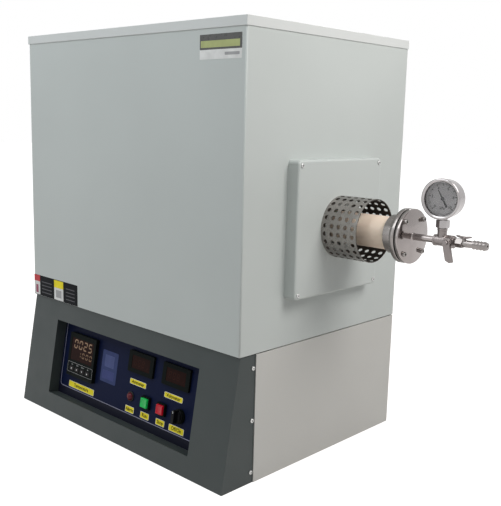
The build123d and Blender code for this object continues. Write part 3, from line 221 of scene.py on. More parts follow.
@dataclass(frozen=True)
class PowderCoat(Finish):
    """Baked powder paint with a fine orange-peel skin and faint handling marks."""

    roughness: float = 0.42
    peel: float = 0.00006
    mottle: float = 0.03
    gloss: float = 0.45

    def make(self) -> bpy.types.Material:
        """Build the material.

        Returns:
            The new material.
        """
        s = Shader(self.name, Specular_IOR_Level=self.gloss)
        self.skin(s, (1 - self.mottle, 1 + self.mottle), (3.5, 4.0), (0.05, 0.07), (28.0, 5.0))
        s.bump(s.noise(620.0), self.peel, 0.5)
        return s.material


@dataclass(frozen=True)
class Steel(Finish):
    """Bare metal whose machining lines run round or along an axis."""

    grain: Triple = (1.0, 1.0, 1.0)
    grain_scale: float = 900.0
    grain_depth: float = 0.00001
    smear: float = 0.06

    def make(self) -> bpy.types.Material:
        """Build the material.

        Returns:
            The new material.
        """
        s = Shader(self.name, Metallic=1.0)
        self.skin(s, (0.93, 1.05), (45.0, 3.0), (self.smear, self.smear), (70.0, 4.0))
        s.bump(s.noise(self.grain_scale, 3.0, self.grain), self.grain_depth, 0.35)
        return s.material


@dataclass(frozen=True)
class Moulded(Finish):
    """Moulded plastic, rubber or ink with a fine spark-eroded grain."""

    grain_depth: float = 0.00004
    coat: float = 0.0
    gloss: float = 0.3
    mottle: float = 0.08

    def make(self) -> bpy.types.Material:
        """Build the material.

        Returns:
            The new material.
        """
        s = Shader(self.name, Coat_Weight=self.coat, Coat_Roughness=0.08, Specular_IOR_Level=self.gloss)
        self.skin(s, (1 - self.mottle, 1 + self.mottle), (60.0, 3.0), (0.05, 0.06), (160.0, 3.0))
        s.bump(s.noise(1500.0), self.grain_depth, 0.4)
        return s.material


@dataclass(frozen=True)
class Fired(Finish):
    """Fired ceramic: warm clouding, sparse specks and a dull sheen."""

    roughness: float = 0.5
    grain_depth: float = 0.00005

    def make(self) -> bpy.types.Material:
        """Build the material.

        Returns:
            The new material.
        """
        s = Shader(self.name, Specular_IOR_Level=0.5, Subsurface_Weight=0.04)
        self.skin(s, (0.9, 1.04), (16.0, 6.0), (0.08, 0.08), (90.0, 3.0))
        s.bump(s.noise(700.0, 4.0), self.grain_depth, 0.5)
        return s.material


@dataclass(frozen=True)
class Lit(Finish):
    """A surface that glows, such as a lamp cap or a display segment."""

    roughness: float = 0.25
    glow: float = 0.2

    def make(self) -> bpy.types.Material:
        """Build the material.

        Returns:
            The new material.
        """
        s = Shader(
            self.name, Coat_Weight=0.08, Coat_Roughness=0.08, Specular_IOR_Level=0.15,
            Emission_Color=self.colour, Emission_Strength=self.glow,
        )
        self.skin(s, (0.88, 1.0), (220.0, 2.0), (0.05, 0.05), (120.0, 2.0))
        return s.material


@dataclass(frozen=True)
class ClearGlass(Finish):
    """Flat gauge glass."""

    roughness: float = 0.03

    def make(self) -> bpy.types.Material:
        """Build the material.

        Returns:
            The new material.
        """
        s = Shader(self.name, Base_Color=self.colour, Transmission_Weight=1.0, IOR=1.45)
        s.rough(s.noise(40.0), 0.0, self.roughness)
        return s.material


class Finishes:
    """All materials of the furnace, each built once."""

    def __init__(self) -> None:
        """Build every finish."""
        turning = (9.0, 0.6, 0.6)
        recipes = {
            "cabinet": PowderCoat("cabinet_powder_coat", (0.545, 0.580, 0.560)),
            "cap": PowderCoat("cap_powder_coat", (0.66, 0.68, 0.665)),
            "lower": PowderCoat("lower_side_powder_coat", (0.56, 0.555, 0.525)),
            "console": PowderCoat("console_powder_coat", (0.043, 0.053, 0.052), mottle=0.06, gloss=0.3),
            "primer": PowderCoat("frame_primer", (0.30, 0.31, 0.31), 0.6),
            "guard": Steel("guard_stainless", (0.33, 0.31, 0.295), 0.28, (0.4, 8.0, 8.0)),
            # near-black steel for the sleeve's inner skin and hole walls: painted shade inside the guard
            "guard_inside": Steel("guard_heat_tint", (0.075, 0.065, 0.058), 0.5),
            "turned": Steel("turned_stainless", (0.245, 0.226, 0.218), 0.24, turning, 1300.0),
            "face": Steel("faced_stainless", (0.285, 0.258, 0.250), 0.12, turning, 1100.0, 0.000004, 0.03),
            "polished": Steel("polished_stainless", (0.38, 0.36, 0.36), 0.18, turning, smear=0.04),
            "cast": Steel("cast_stainless", (0.23, 0.205, 0.20), 0.36, grain_scale=500.0, grain_depth=0.00008),
            "bolt": Steel("bolt_steel", (0.24, 0.225, 0.215), 0.25),
            "zinc": Steel("zinc_plate", (0.50, 0.50, 0.49), 0.30),
            "zinc_sheet": Steel("galvanised_sheet", (0.55, 0.56, 0.57), 0.42, grain_depth=0.00002),
            "aluminium": Steel("extruded_aluminium", (0.66, 0.67, 0.68), 0.35, (0.2, 6.0, 6.0)),
            "brass": Steel("turned_brass", (0.72, 0.52, 0.22), 0.25),
            "grille": Steel("grille_wire", (0.58, 0.58, 0.57), 0.3),
            "panel": Moulded("panel_film", (0.0060, 0.0100, 0.036), 0.4, 0.000004, gloss=0.04, mottle=0.03),
            "band": Moulded("panel_band", (0.010, 0.011, 0.021), 0.4, 0.000004, gloss=0.06, mottle=0.03),
            "trim_line": Moulded("panel_line", (0.34, 0.34, 0.44), 0.4, 0.00001, gloss=0.1),
            "black": Moulded("instrument_black", (0.012, 0.013, 0.014), 0.42, gloss=0.15),
            "bezel": Moulded("instrument_bezel", (0.0055, 0.0075, 0.0070), 0.5, gloss=0.03),
            "knob": Moulded("knob_black", (0.004, 0.004, 0.005), 0.42, gloss=0.08),
            "rubber": Moulded("seal_rubber", (0.010, 0.010, 0.010), 0.6),
            "key": Moulded("key_rubber", (0.036, 0.032, 0.032), 0.5, gloss=0.06),
            "meter_window": Moulded("meter_window", (0.021, 0.0065, 0.0050), 0.2, 0.000002, gloss=0.03),
            "dim_segment": Moulded("unlit_segment", (0.038, 0.012, 0.008), 0.2, 0.000002, gloss=0.03),
            # mid-grey stands for a white dial in the bezel's shade: painted shade
            "dial": Moulded("dial_paint", (0.27, 0.262, 0.266), 0.5, 0.000005, gloss=0.1),
            "fan_black": Moulded("fan_plastic", (0.016, 0.016, 0.017), 0.5),
            "varnish": Moulded("core_varnish", (0.11, 0.035, 0.018), 0.35, coat=0.3),
            "grey_case": Moulded("apparatus_grey", (0.33, 0.33, 0.32), 0.5),
            "gland": Moulded("gland_nylon", (0.02, 0.02, 0.021), 0.4),
            "alumina": Fired("alumina", (0.80, 0.645, 0.515)),
            "fibre": Fired("ceramic_fibre", (0.82, 0.81, 0.76), 0.85, 0.0004),
            "carbide": Fired("element_carbide", (0.05, 0.048, 0.047), 0.4),
            "holder": Fired("holder_ceramic", (0.70, 0.66, 0.58), 0.6),
            "probe": Fired("probe_sheath", (0.72, 0.64, 0.52), 0.45),
            "alarm": Lit("alarm_lens", (0.11, 0.004, 0.012), glow=0.04),
            "green": Lit("run_lens", (0.008, 0.40, 0.075), glow=0.22),
            "red": Lit("stop_lens", (0.42, 0.002, 0.014), glow=0.22),
            "amber": Lit("amber_segment", (0.25, 0.150, 0.085), glow=0.20),
            "dim_amber": Lit("dim_amber_segment", (0.20, 0.115, 0.060), glow=0.15),
            "glass": ClearGlass("gauge_glass", (1.0, 1.0, 1.0)),
        }
        inks = {
            "white_ink": ((0.78, 0.78, 0.76), 0.45, 0.3),
            "black_ink": ((0.008, 0.009, 0.011), 0.5, 0.04),
            "yellow_ink": ((0.98, 0.80, 0.035), 0.45, 0.1),
            "red_ink": ((0.52, 0.012, 0.020), 0.4, 0.3),
            "blue_ink": ((0.034, 0.050, 0.145), 0.4, 0.1),
            "pale_ink": ((0.070, 0.090, 0.22), 0.4, 0.1),
            "violet_ink": ((0.048, 0.062, 0.19), 0.4, 0.1),
            "silver_ink": ((0.36, 0.36, 0.36), 0.35, 0.3),
            "badge_ink": ((0.085, 0.085, 0.080), 0.3, 0.3),
            "lime_ink": ((0.42, 0.46, 0.19), 0.35, 0.3),
            "rose_ink": ((0.30, 0.05, 0.10), 0.4, 0.3),
            "line_ink": ((0.045, 0.045, 0.055), 0.4, 0.3),
        }
        for name, (colour, roughness, gloss) in inks.items():
            recipes[name] = Moulded(name, colour, roughness, 0.000005, gloss=gloss)
        self.made = {key: recipe.make() for key, recipe in recipes.items()}

    def __getitem__(self, key: str) -> bpy.types.Material:
        """The material by its short name."""
        return self.made[key]


# ---- places and outlines -------------------------------------------------------------------------------------
def solid_box(node: str) -> tuple[Vector, Vector]:
    """The lowest and the highest corner of a solid node, in millimetres."""
    low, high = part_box(node)
    return Vector(low) / MM, Vector(high) / MM


def at(x: float, y: float, z: float) -> Matrix:
    """A place moved from the origin and not turned."""
    return Matrix.Translation((x, y, z))


def spun(degrees: float, axis: str = "Z") -> Matrix:
    """A turn about one axis."""
    return Matrix.Rotation(math.radians(degrees), 4, axis)


def along_x(reach: float, side: Side = Side.RIGHT, y: float = 0.0, z: float = AXIS_Z) -> Matrix:
    """A place whose Z axis points away from the cabinet along the work tube.

    Args:
        reach: distance from the cabinet's side.
        side: which end of the tube.
        y: offset towards the rear.
        z: height.

    Returns:
        The placement.
    """
    out, up = Vector((side.value, 0, 0)), Vector((0, 0, 1))
    turn = Matrix((up.cross(out), up, out)).transposed().to_4x4()
    return at(side.value * (HALF_WIDTH + reach), y, z) @ turn


def arc(centre: float, radius: float, swell: float, start: float, end: float, steps: int = 6) -> list[Ring]:
    """Rings along an arc in a turned profile.

    Args:
        centre: the arc centre's height.
        radius: the arc centre's distance from the axis.
        swell: the arc's own radius.
        start: first angle, in degrees from the radial direction.
        end: last angle.
        steps: number of spans.

    Returns:
        The rings in order.
    """
    angles = [math.radians(start + (end - start) * i / steps) for i in range(steps + 1)]
    return [(centre + swell * math.sin(a), radius + swell * math.cos(a)) for a in angles]


def hexagon(start: float, length: float, across: float, steps: int = 5) -> list[Ring]:
    """Rings of a hexagon whose corners are turned down by a 30 degree cone at both ends.

    Args:
        start: where it begins along the axis.
        length: its length.
        across: width across flats.
        steps: rings in each cone.

    Returns:
        The rings in order.
    """
    small = across / 2 - 0.15
    growth = across / 2 / math.cos(math.pi / 6) - small
    cone = [(growth * i / steps, growth * i / steps * math.tan(math.pi / 6)) for i in range(steps + 1)]
    first = [(start + rise, small + grown, across) for grown, rise in cone]
    return first + [(start + length - rise, small + grown, across) for grown, rise in reversed(cone)]


def rounded(width: float, height: float, radius: float, steps: int = 5) -> list[Pair]:
    """A rectangle with rounded corners, anticlockwise round the origin.

    Args:
        width: along x.
        height: along y.
        radius: corner radius.
        steps: spans in each corner.

    Returns:
        The outline's points.
    """
    points = []
    for corner, (sx, sy) in enumerate(((1, 1), (-1, 1), (-1, -1), (1, -1))):
        cx, cy = sx * (width / 2 - radius), sy * (height / 2 - radius)
        for i in range(steps + 1):
            a = math.pi / 2 * (corner + i / steps)
            points.append((cx + radius * math.cos(a), cy + radius * math.sin(a)))
    return points


def softened(corners: Sequence[Pair], radius: float, steps: int = 3) -> list[Pair]:
    """A polygon with small rounds in place of its corners.

    Args:
        corners: anticlockwise corner points.
        radius: distance from each corner at which its round starts.
        steps: spans in each round.

    Returns:
        The rounded outline.
    """
    points = []
    for i, corner in enumerate(corners):
        here = Vector(corner)
        before = here + (Vector(corners[i - 1]) - here).normalized() * radius
        after = here + (Vector(corners[(i + 1) % len(corners)]) - here).normalized() * radius
        for k in range(steps + 1):
            t = k / steps
            points.append(tuple(before * (1 - t) ** 2 + here * (2 * t * (1 - t)) + after * t**2))
    return points


# ---- mesh makers ---------------------------------------------------------------------------------------------
def new_piece(name: str, mesh: bpy.types.Mesh, material: bpy.types.Material) -> bpy.types.Object:
    """Put a mesh in the scene with one material and smooth faces between sharp edges.

    Args:
        name: piece name.
        mesh: the finished mesh, in metres.
        material: its finish.

    Returns:
        The new object.
    """
    mesh.materials.append(material)
    mesh.shade_smooth()
    mesh.set_sharp_from_angle(angle=SMOOTH_ANGLE)
    piece = bpy.data.objects.new(name, mesh)
    bpy.context.scene.collection.objects.link(piece)
    return piece


class Blank:
    """A mesh in the making, in millimetres."""

    def __init__(self) -> None:
        """Start with nothing."""
        self.bm = bmesh.new()

    def row(self, points: Iterable[Sequence[float]], place: Matrix = HERE) -> Row:
        """Add points and hand them back in order."""
        return [self.bm.verts.new(place @ Vector(point)) for point in points]

    def skin(self, rows: Sequence[Row], closed: bool = True, ends: bool = True) -> "Blank":
        """Stretch faces between neighbouring rows of points.

        Args:
            rows: rows of equal length.
            closed: whether each row runs back to its first point.
            ends: whether the first and the last row are filled.

        Returns:
            The blank itself.
        """
        spans = len(rows[0]) if closed else len(rows[0]) - 1
        for a, b in zip(rows, rows[1:]):
            for i in range(spans):
                j = (i + 1) % len(a)
                self.bm.faces.new((a[i], a[j], b[j], b[i]))
        if ends:
            self.bm.faces.new(reversed(rows[0]))
            self.bm.faces.new(rows[-1])
        return self

    def turn(self, rings: Sequence[Ring], place: Matrix = HERE, steps: int = 72) -> "Blank":
        """Add a turned body on its own Z axis.

        Args:
            rings: height and radius of each cross-section, and the width across flats where it is a hexagon
                that the radius cuts off at its corners; a profile that ends where it starts isn't filled.
            place: where it goes.
            steps: points round each ring, a multiple of 12 so that a hexagon's corners are met.

        Returns:
            The blank itself.
        """
        rows = []
        for height, radius, *across in rings:
            points = []
            for i in range(steps):
                angle = 2 * math.pi * i / steps
                r = radius
                if across:
                    r = min(r, across[0] / 2 / math.cos(angle % (math.pi / 3) - math.pi / 6))
                points.append((r * math.cos(angle), r * math.sin(angle), height))
            rows.append(self.row(points, place))
        return self.skin(rows, ends=rings[0] != rings[-1])

    def prism(
        self, outline: Sequence[Pair], z0: float, z1: float, chamfer: float = 0.0, place: Matrix = HERE
    ) -> "Blank":
        """Add an extruded outline, with an optional chamfer round its top.

        Args:
            outline: anticlockwise points.
            z0: bottom.
            z1: top.
            chamfer: width of the top chamfer.
            place: where it goes.

        Returns:
            The blank itself.
        """
        layers = [(z0, 0.0), (z1, 0.0)]
        if chamfer:
            nose = chamfer * 0.35
            layers = [(z0, 0.0), (z1 - chamfer, 0.0), (z1 - nose, nose), (z1, chamfer)]
        cx, cy = (sum(p[i] for p in outline) / len(outline) for i in (0, 1))
        half = max(max(abs(x - cx), abs(y - cy)) for x, y in outline)
        rows = []
        for z, inset in layers:
            k = 1 - inset / half
            rows.append(self.row(((cx + (x - cx) * k, cy + (y - cy) * k, z) for x, y in outline), place))
        return self.skin(rows)

    def finish(self, name: str, material: bpy.types.Material, place: Matrix) -> bpy.types.Object:
        """Turn the blank into a placed piece.

        Args:
            name: piece name.
            material: its finish.
            place: where it goes.

        Returns:
            The new object.
        """
        bmesh.ops.remove_doubles(self.bm, verts=self.bm.verts, dist=0.0001)
        bmesh.ops.recalc_face_normals(self.bm, faces=self.bm.faces)
        bmesh.ops.transform(self.bm, matrix=TO_METRES @ place, verts=self.bm.verts)
        mesh = bpy.data.meshes.new(name)
        self.bm.to_mesh(mesh)
        self.bm.free()
        return new_piece(name, mesh, material)


def stand_for(piece: bpy.types.Object, body: str, slot: str, *nodes: str) -> bpy.types.Object:
    """Attach a finished piece to its body and let it stand for solid nodes.

    Args:
        piece: the piece.
        body: the body that it moves with.
        slot: the record's material slot; not used.
        *nodes: nodes that it replaces.

    Returns:
        The piece.
    """
    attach(piece, body)
    if nodes:
        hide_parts(*nodes)
    LOG.info("%s rides on %s%s", piece.name, body, f", for {', '.join(nodes)}" if nodes else "")
    return piece


@dataclass(frozen=True)
class Label:
    """A printed block: its span on the face that carries it, and its ink."""

    left: float
    right: float
    bottom: float
    top: float
    ink: str
    radius: float = 0.8

    @property
    def middle(self) -> Pair:
        """The block's centre."""
        return (self.left + self.right) / 2, (self.bottom + self.top) / 2

    @property
    def outline(self) -> list[Pair]:
        """The block's outline round its centre."""
        return rounded(self.right - self.left, self.top - self.bottom, self.radius)

    def inset(self, rim: float, ink: str) -> "Label":
        """The same block drawn in on all sides, in another ink."""
        sides = (self.left + rim, self.right - rim, self.bottom + rim, self.top - rim)
        return Label(*sides, ink, 0.8 * self.radius)


@dataclass
class SubAssembly:
    """What every group of pieces shares: the finishes, the solid nodes and the ways to add a piece."""

    finishes: Finishes
    nodes: dict[str, bpy.types.Object]

    def put(
        self, name: str, blank: Blank, finish: str, slot: str, *nodes: str, body: str = "cabinet",
        place: Matrix = HERE,
    ) -> bpy.types.Object:
        """Finish a blank and attach it.

        Args:
            name: piece name.
            blank: its mesh.
            finish: its finish by short name.
            slot: the record's material slot.
            *nodes: solid nodes that it replaces.
            body: the body that it moves with.
            place: where it goes.

        Returns:
            The piece.
        """
        return stand_for(blank.finish(name, self.finishes[finish], place), body, slot, *nodes)

    def lay(self, name: str, label: Label, thickness: float, face: Matrix, slot: str) -> None:
        """Lay a printed block on a face.

        Args:
            name: piece name.
            label: the block.
            thickness: how far it stands off the face.
            face: the face's placement.
            slot: the record's material slot.
        """
        blank = Blank().prism(label.outline, 0.0, thickness)
        self.put(name, blank, label.ink, slot, place=face @ at(*label.middle, 0.0))

    def letter(self, name: str, words: str, height: float, place: Matrix, ink: str, slot: str) -> None:
        """Print characters, centred on their place.

        Args:
            name: piece name.
            words: the characters.
            height: letter size.
            place: where they go.
            ink: their finish.
            slot: the record's material slot.
        """
        curve = bpy.data.curves.new(name + "_curve", "FONT")
        curve.body = words
        curve.size = height * MM
        curve.align_x, curve.align_y = "CENTER", "CENTER"
        curve.extrude = 0.04 * MM
        curve.offset = 0.02 * height * MM
        curve.resolution_u = 3
        source = bpy.data.objects.new(name + "_curve", curve)
        mesh = bpy.data.meshes.new_from_object(source)
        bpy.data.objects.remove(source)
        mesh.transform(TO_METRES @ place @ TO_METRES.inverted())
        stand_for(new_piece(name, mesh, self.finishes[ink]), "cabinet", slot)

    def dress(self, **looks: tuple[str, float]) -> None:
        """Give solid nodes their finish and, where asked, softly broken edges.

        Args:
            **looks: finish and bevel width by node name; a width of 0 keeps the edges.
        """
        for name, (finish, edge) in looks.items():
            node = self.nodes[name]
            node.data.materials.clear()
            node.data.materials.append(self.finishes[finish])
            for face in node.data.polygons:
                face.material_index = 0
            if edge:
                node.modifiers.new("weld", "WELD").merge_threshold = 1e-6
                bevel = node.modifiers.new("edges", "BEVEL")
                bevel.width = edge * MM
                bevel.segments = 2
                bevel.limit_method = "ANGLE"
                bevel.angle_limit = BEVEL_ANGLE
                bevel.harden_normals = True
            LOG.info("%s dressed in %s", node.name, finish)


# ---- studio --------------------------------------------------------------------------------------------------
@dataclass(frozen=True)
class Lamp:
    """A square area lamp, in metres and watts."""

    name: str
    place: Triple
    target: Triple
    size: float
    power: float
    colour: Triple

    def hang(self) -> None:
        """Put the lamp in the scene."""
        data = bpy.data.lights.new(self.name, "AREA")
        data.size = self.size
        data.energy = self.power
        data.color = self.colour
        lamp = bpy.data.objects.new(self.name, data)
        lamp.location = self.place
        aim = Vector(self.target) - Vector(self.place)
        lamp.rotation_euler = aim.to_track_quat("-Z", "Y").to_euler()
        bpy.context.scene.collection.objects.link(lamp)


@dataclass
class Studio:
    """Camera, lamps, world and floor, in metres."""

    place: Triple = (1.24062, -1.17718, 0.65942)
    yaw: float = 43.380
    pitch: float = 9.785
    roll: float = 1.451
    lens: float = 55.035
    floor_size: float = 30.0
    floor_drop: float = 0.0005
    shadow_reach: float = 1.1
    shadow_spread: float = 2.2
    shadow_depth: float = 0.84
    sky: Triple = (0.93, 0.96, 1.0)
    sky_power: float = 0.26
    lamps: tuple[Lamp, ...] = (
        Lamp("key_lamp", (1.45, 0.10, 1.62), (0.335, 0.05, 0.72), 0.9, 20.0, (1.0, 0.975, 0.96)),
        Lamp("fill_lamp", (-1.2, -2.4, 1.4), (0.0, 0.0, 0.45), 2.0, 8.6, (0.90, 0.96, 1.0)),
        Lamp("top_lamp", (-0.2, -1.3, 2.1), (0.0, -0.24, 0.75), 1.4, 19.0, (0.93, 0.97, 1.0)),
        Lamp("rear_lamp", (-2.0, 1.9, 1.7), (0.0, 0.0, 0.45), 2.0, 36.0, (1.0, 1.0, 1.0)),
    )

    def camera(self) -> None:
        """Create the camera and make it the scene's own."""
        yaw, pitch, roll = (math.radians(a) for a in (self.yaw, self.pitch, self.roll))
        ahead = Vector((-math.sin(yaw) * math.cos(pitch), math.cos(yaw) * math.cos(pitch), -math.sin(pitch)))
        level = ahead.cross(Vector((0, 0, 1))).normalized()
        rise = level.cross(ahead)
        right = level * math.cos(roll) + rise * math.sin(roll)
        up = rise * math.cos(roll) - level * math.sin(roll)
        data = bpy.data.cameras.new("camera")
        data.lens = self.lens
        data.sensor_width = 36.0
        data.clip_start, data.clip_end = 0.01, 100.0
        camera = bpy.data.objects.new("camera", data)
        turn = Matrix((right, up, -ahead)).transposed().to_4x4()
        camera.matrix_world = Matrix.Translation(self.place) @ turn
        bpy.context.scene.collection.objects.link(camera)
        bpy.context.scene.camera = camera

    def mixed(self, tree: bpy.types.NodeTree, plain: Socket, white: Socket, output: str) -> None:
        """Show one shader to camera, glossy and transmission rays and another to the rest.

        Args:
            tree: the node tree.
            plain: what lights the scene.
            white: what is seen.
            output: name of the tree's output node.
        """
        path = tree.nodes.new("ShaderNodeLightPath")
        total = path.outputs["Is Camera Ray"]
        for ray in ("Is Glossy Ray", "Is Transmission Ray"):
            both = tree.nodes.new("ShaderNodeMath")
            both.operation = "MAXIMUM"
            tree.links.new(total, both.inputs[0])
            tree.links.new(path.outputs[ray], both.inputs[1])
            total = both.outputs[0]
        mix = tree.nodes.new("ShaderNodeMixShader")
        for source, target in zip((total, plain, white), mix.inputs):
            tree.links.new(source, target)
        tree.links.new(mix.outputs["Shader"], tree.nodes[output].inputs["Surface"])

    def world(self) -> None:
        """A pale surround that looks white and lights softly."""
        world = bpy.data.worlds.new("surround")
        world.use_nodes = True
        bpy.context.scene.world = world
        tree = world.node_tree
        sky, white = tree.nodes["Background"], tree.nodes.new("ShaderNodeBackground")
        for node, colour, strength in ((sky, self.sky, self.sky_power), (white, (1.0, 1.0, 1.0), 1.0)):
            node.inputs["Color"].default_value = (*colour, 1.0)
            node.inputs["Strength"].default_value = strength
        self.mixed(tree, sky.outputs["Background"], white.outputs["Background"], "World Output")

    def floor(self) -> None:
        """A pale floor that keeps the object's shadow."""
        shader = Shader("floor_paper", Roughness=0.9, Specular_IOR_Level=0.1)
        shader.colour(shader.noise(3.0), (0.50, 0.48, 0.46), (0.52, 0.50, 0.48))
        away = shader.node("VectorMath")
        away.operation = "LENGTH"
        shader.link(shader.place, away.inputs[0])
        near, dim = self.shadow_reach, self.shadow_depth
        far = near * self.shadow_spread
        strength = shader.node("MapRange", From_Min=near, From_Max=far, To_Min=dim, To_Max=1.0)
        strength.interpolation_type = "SMOOTHSTEP"
        shader.link(away.outputs["Value"], strength.inputs["Value"])
        glow, add = shader.node("Emission"), shader.node("AddShader")
        shader.link(strength.outputs["Result"], glow.inputs["Strength"])
        paper = shader.surface.outputs["BSDF"]
        shader.link(paper, add.inputs[0])
        shader.link(glow.outputs["Emission"], add.inputs[1])
        self.mixed(shader.tree, paper, add.outputs["Shader"], "Material Output")
        blank = Blank()
        bmesh.ops.create_grid(blank.bm, x_segments=2, y_segments=2, size=self.floor_size / 2 / MM)
        blank.finish("floor", shader.material, at(0, 0, -self.floor_drop / MM))

    def build(self) -> None:
        """Set up the whole studio."""
        self.camera()
        self.world()
        self.floor()
        for lamp in self.lamps:
            lamp.hang()
        bpy.context.scene.view_settings.view_transform = "Standard"
        LOG.info("studio ready")


# ---- cabinet -------------------------------------------------------------------------------------------------
@dataclass
class Cabinet(SubAssembly):
    """Housing panels of the furnace and the plain colour labels on its front."""

    edge: float = 0.8
    label_t: float = 0.25
    badge: tuple[Label, ...] = (
        Label(222.1, 324.3, 759.3, 801.0, "white_ink"),
        Label(222.1, 324.3, 775.5, 801.0, "badge_ink"),
        Label(224.5, 319.5, 779.0, 790.5, "lime_ink"),
        Label(284.0, 319.0, 765.5, 770.5, "silver_ink"),
    )
    strip: tuple[Label, ...] = (
        Label(-334.4, -160.0, 247.4, 294.0, "black_ink"),
        Label(-334.2, -310.5, 248.4, 279.0, "white_ink"),
        Label(-334.2, -310.5, 279.0, 293.6, "red_ink"),
        Label(-327.5, -317.5, 252.0, 271.0, "rose_ink"),
        Label(-251.5, -215.0, 248.4, 276.0, "white_ink"),
        Label(-251.5, -215.0, 276.0, 292.8, "yellow_ink"),
        Label(-244.0, -223.0, 254.0, 271.0, "silver_ink"),
    )
    stripes: tuple[Pair, ...] = ((-303.0, -262.0), (-205.0, -171.0))
    stripe_heights: tuple[float, ...] = (256.0, 264.0, 272.0, 280.0)

    def build(self) -> None:
        """Dress the panels, then lay each label a little above the one before."""
        self.dress(
            upper_shell=("cabinet", self.edge), upper_rear_panel=("cabinet", 0.0),
            side_cover_right=("cabinet", 0.0), side_cover_left=("cabinet", 0.0),
            top_cover=("cap", self.edge), lower_side_panels=("lower", self.edge / 2),
            lower_rear_panel=("lower", 0.0), console_housing=("console", 0.0),
            # the deck plate under the cabinet's overhang is dressed black: painted shade along the seam below
            # the cabinet
            deck_plate=("black", 0.0), base_frame=("primer", 0.0),
        )
        front = at(0, solid_box("upper_shell")[0].y, 0) @ FORWARD
        for group, blocks in (("badge", self.badge), ("strip", self.strip)):
            for level, block in enumerate(blocks):
                top = self.label_t * (1 + 0.15 * level)
                self.lay(f"{group}_block_{level}", block, top, front, "cabinet_paint")
        lines = Blank()
        for left, right in self.stripes:
            for height in self.stripe_heights:
                line = Label(left, right, height - 1.0, height + 1.0, "line_ink", 0.6)
                lines.prism(line.outline, 0.0, 1.2 * self.label_t, 0.0, front @ at(*line.middle, 0.0))
        self.put("strip_lines", lines, "line_ink", "cabinet_paint")


@dataclass
class SheetScrews(SubAssembly):
    """Pan-head screws of the side covers and the console's cheeks, with cross recesses."""

    head_r: float = 4.0
    head_h: float = 2.2
    lip: float = 1.3
    cross_w: float = 1.0
    cross_l: float = 4.4
    cross_depth: float = 0.4
    turns: Pair = (20.0, 110.0)

    def places(self) -> Iterator[tuple[Side, float, float, float]]:
        """Centres of the head faces, read from the solid screws.

        Yields:
            The side, the face's distance from the cabinet's side, and Y and Z of the screw's axis.
        """
        groups: list[tuple[Side, list[Vector]]] = []
        for vertex in self.nodes["sheet_screws"].data.vertices:
            point = vertex.co / MM
            here = Side.RIGHT if point.x > 0 else Side.LEFT
            for side, points in groups:
                if side is here and (points[0] - point).yz.length < 3 * self.head_r:
                    points.append(point)
                    break
            else:
                groups.append((here, [point]))
        for side, points in groups:
            ys, zs = [p.y for p in points], [p.z for p in points]
            reach = max(abs(p.x) for p in points) - HALF_WIDTH
            yield side, reach, (min(ys) + max(ys)) / 2, (min(zs) + max(zs)) / 2

    def build(self) -> None:
        """Make all heads as one piece in place of the solid screws, and their recesses as another."""
        heads, slots = Blank(), Blank()
        h, r, lip = self.head_h, self.head_r, self.lip
        profile = [(0, r), *arc(h - lip, r - lip, lip, 0, 90, 5), (h, 0.4 * r)]
        cross = rounded(self.cross_l, self.cross_w, 0.3)
        for side, reach, y, z in self.places():
            heads.turn(profile, along_x(reach - h, side, y, z), 36)
            for degrees in self.turns:
                slots.prism(cross, -self.cross_depth, 0.02, 0.0, along_x(reach, side, y, z) @ spun(degrees))
        self.put("screw_heads", heads, "zinc", "polished_steel", "sheet_screws")
        self.put("screw_recesses", slots, "black", "polished_steel")


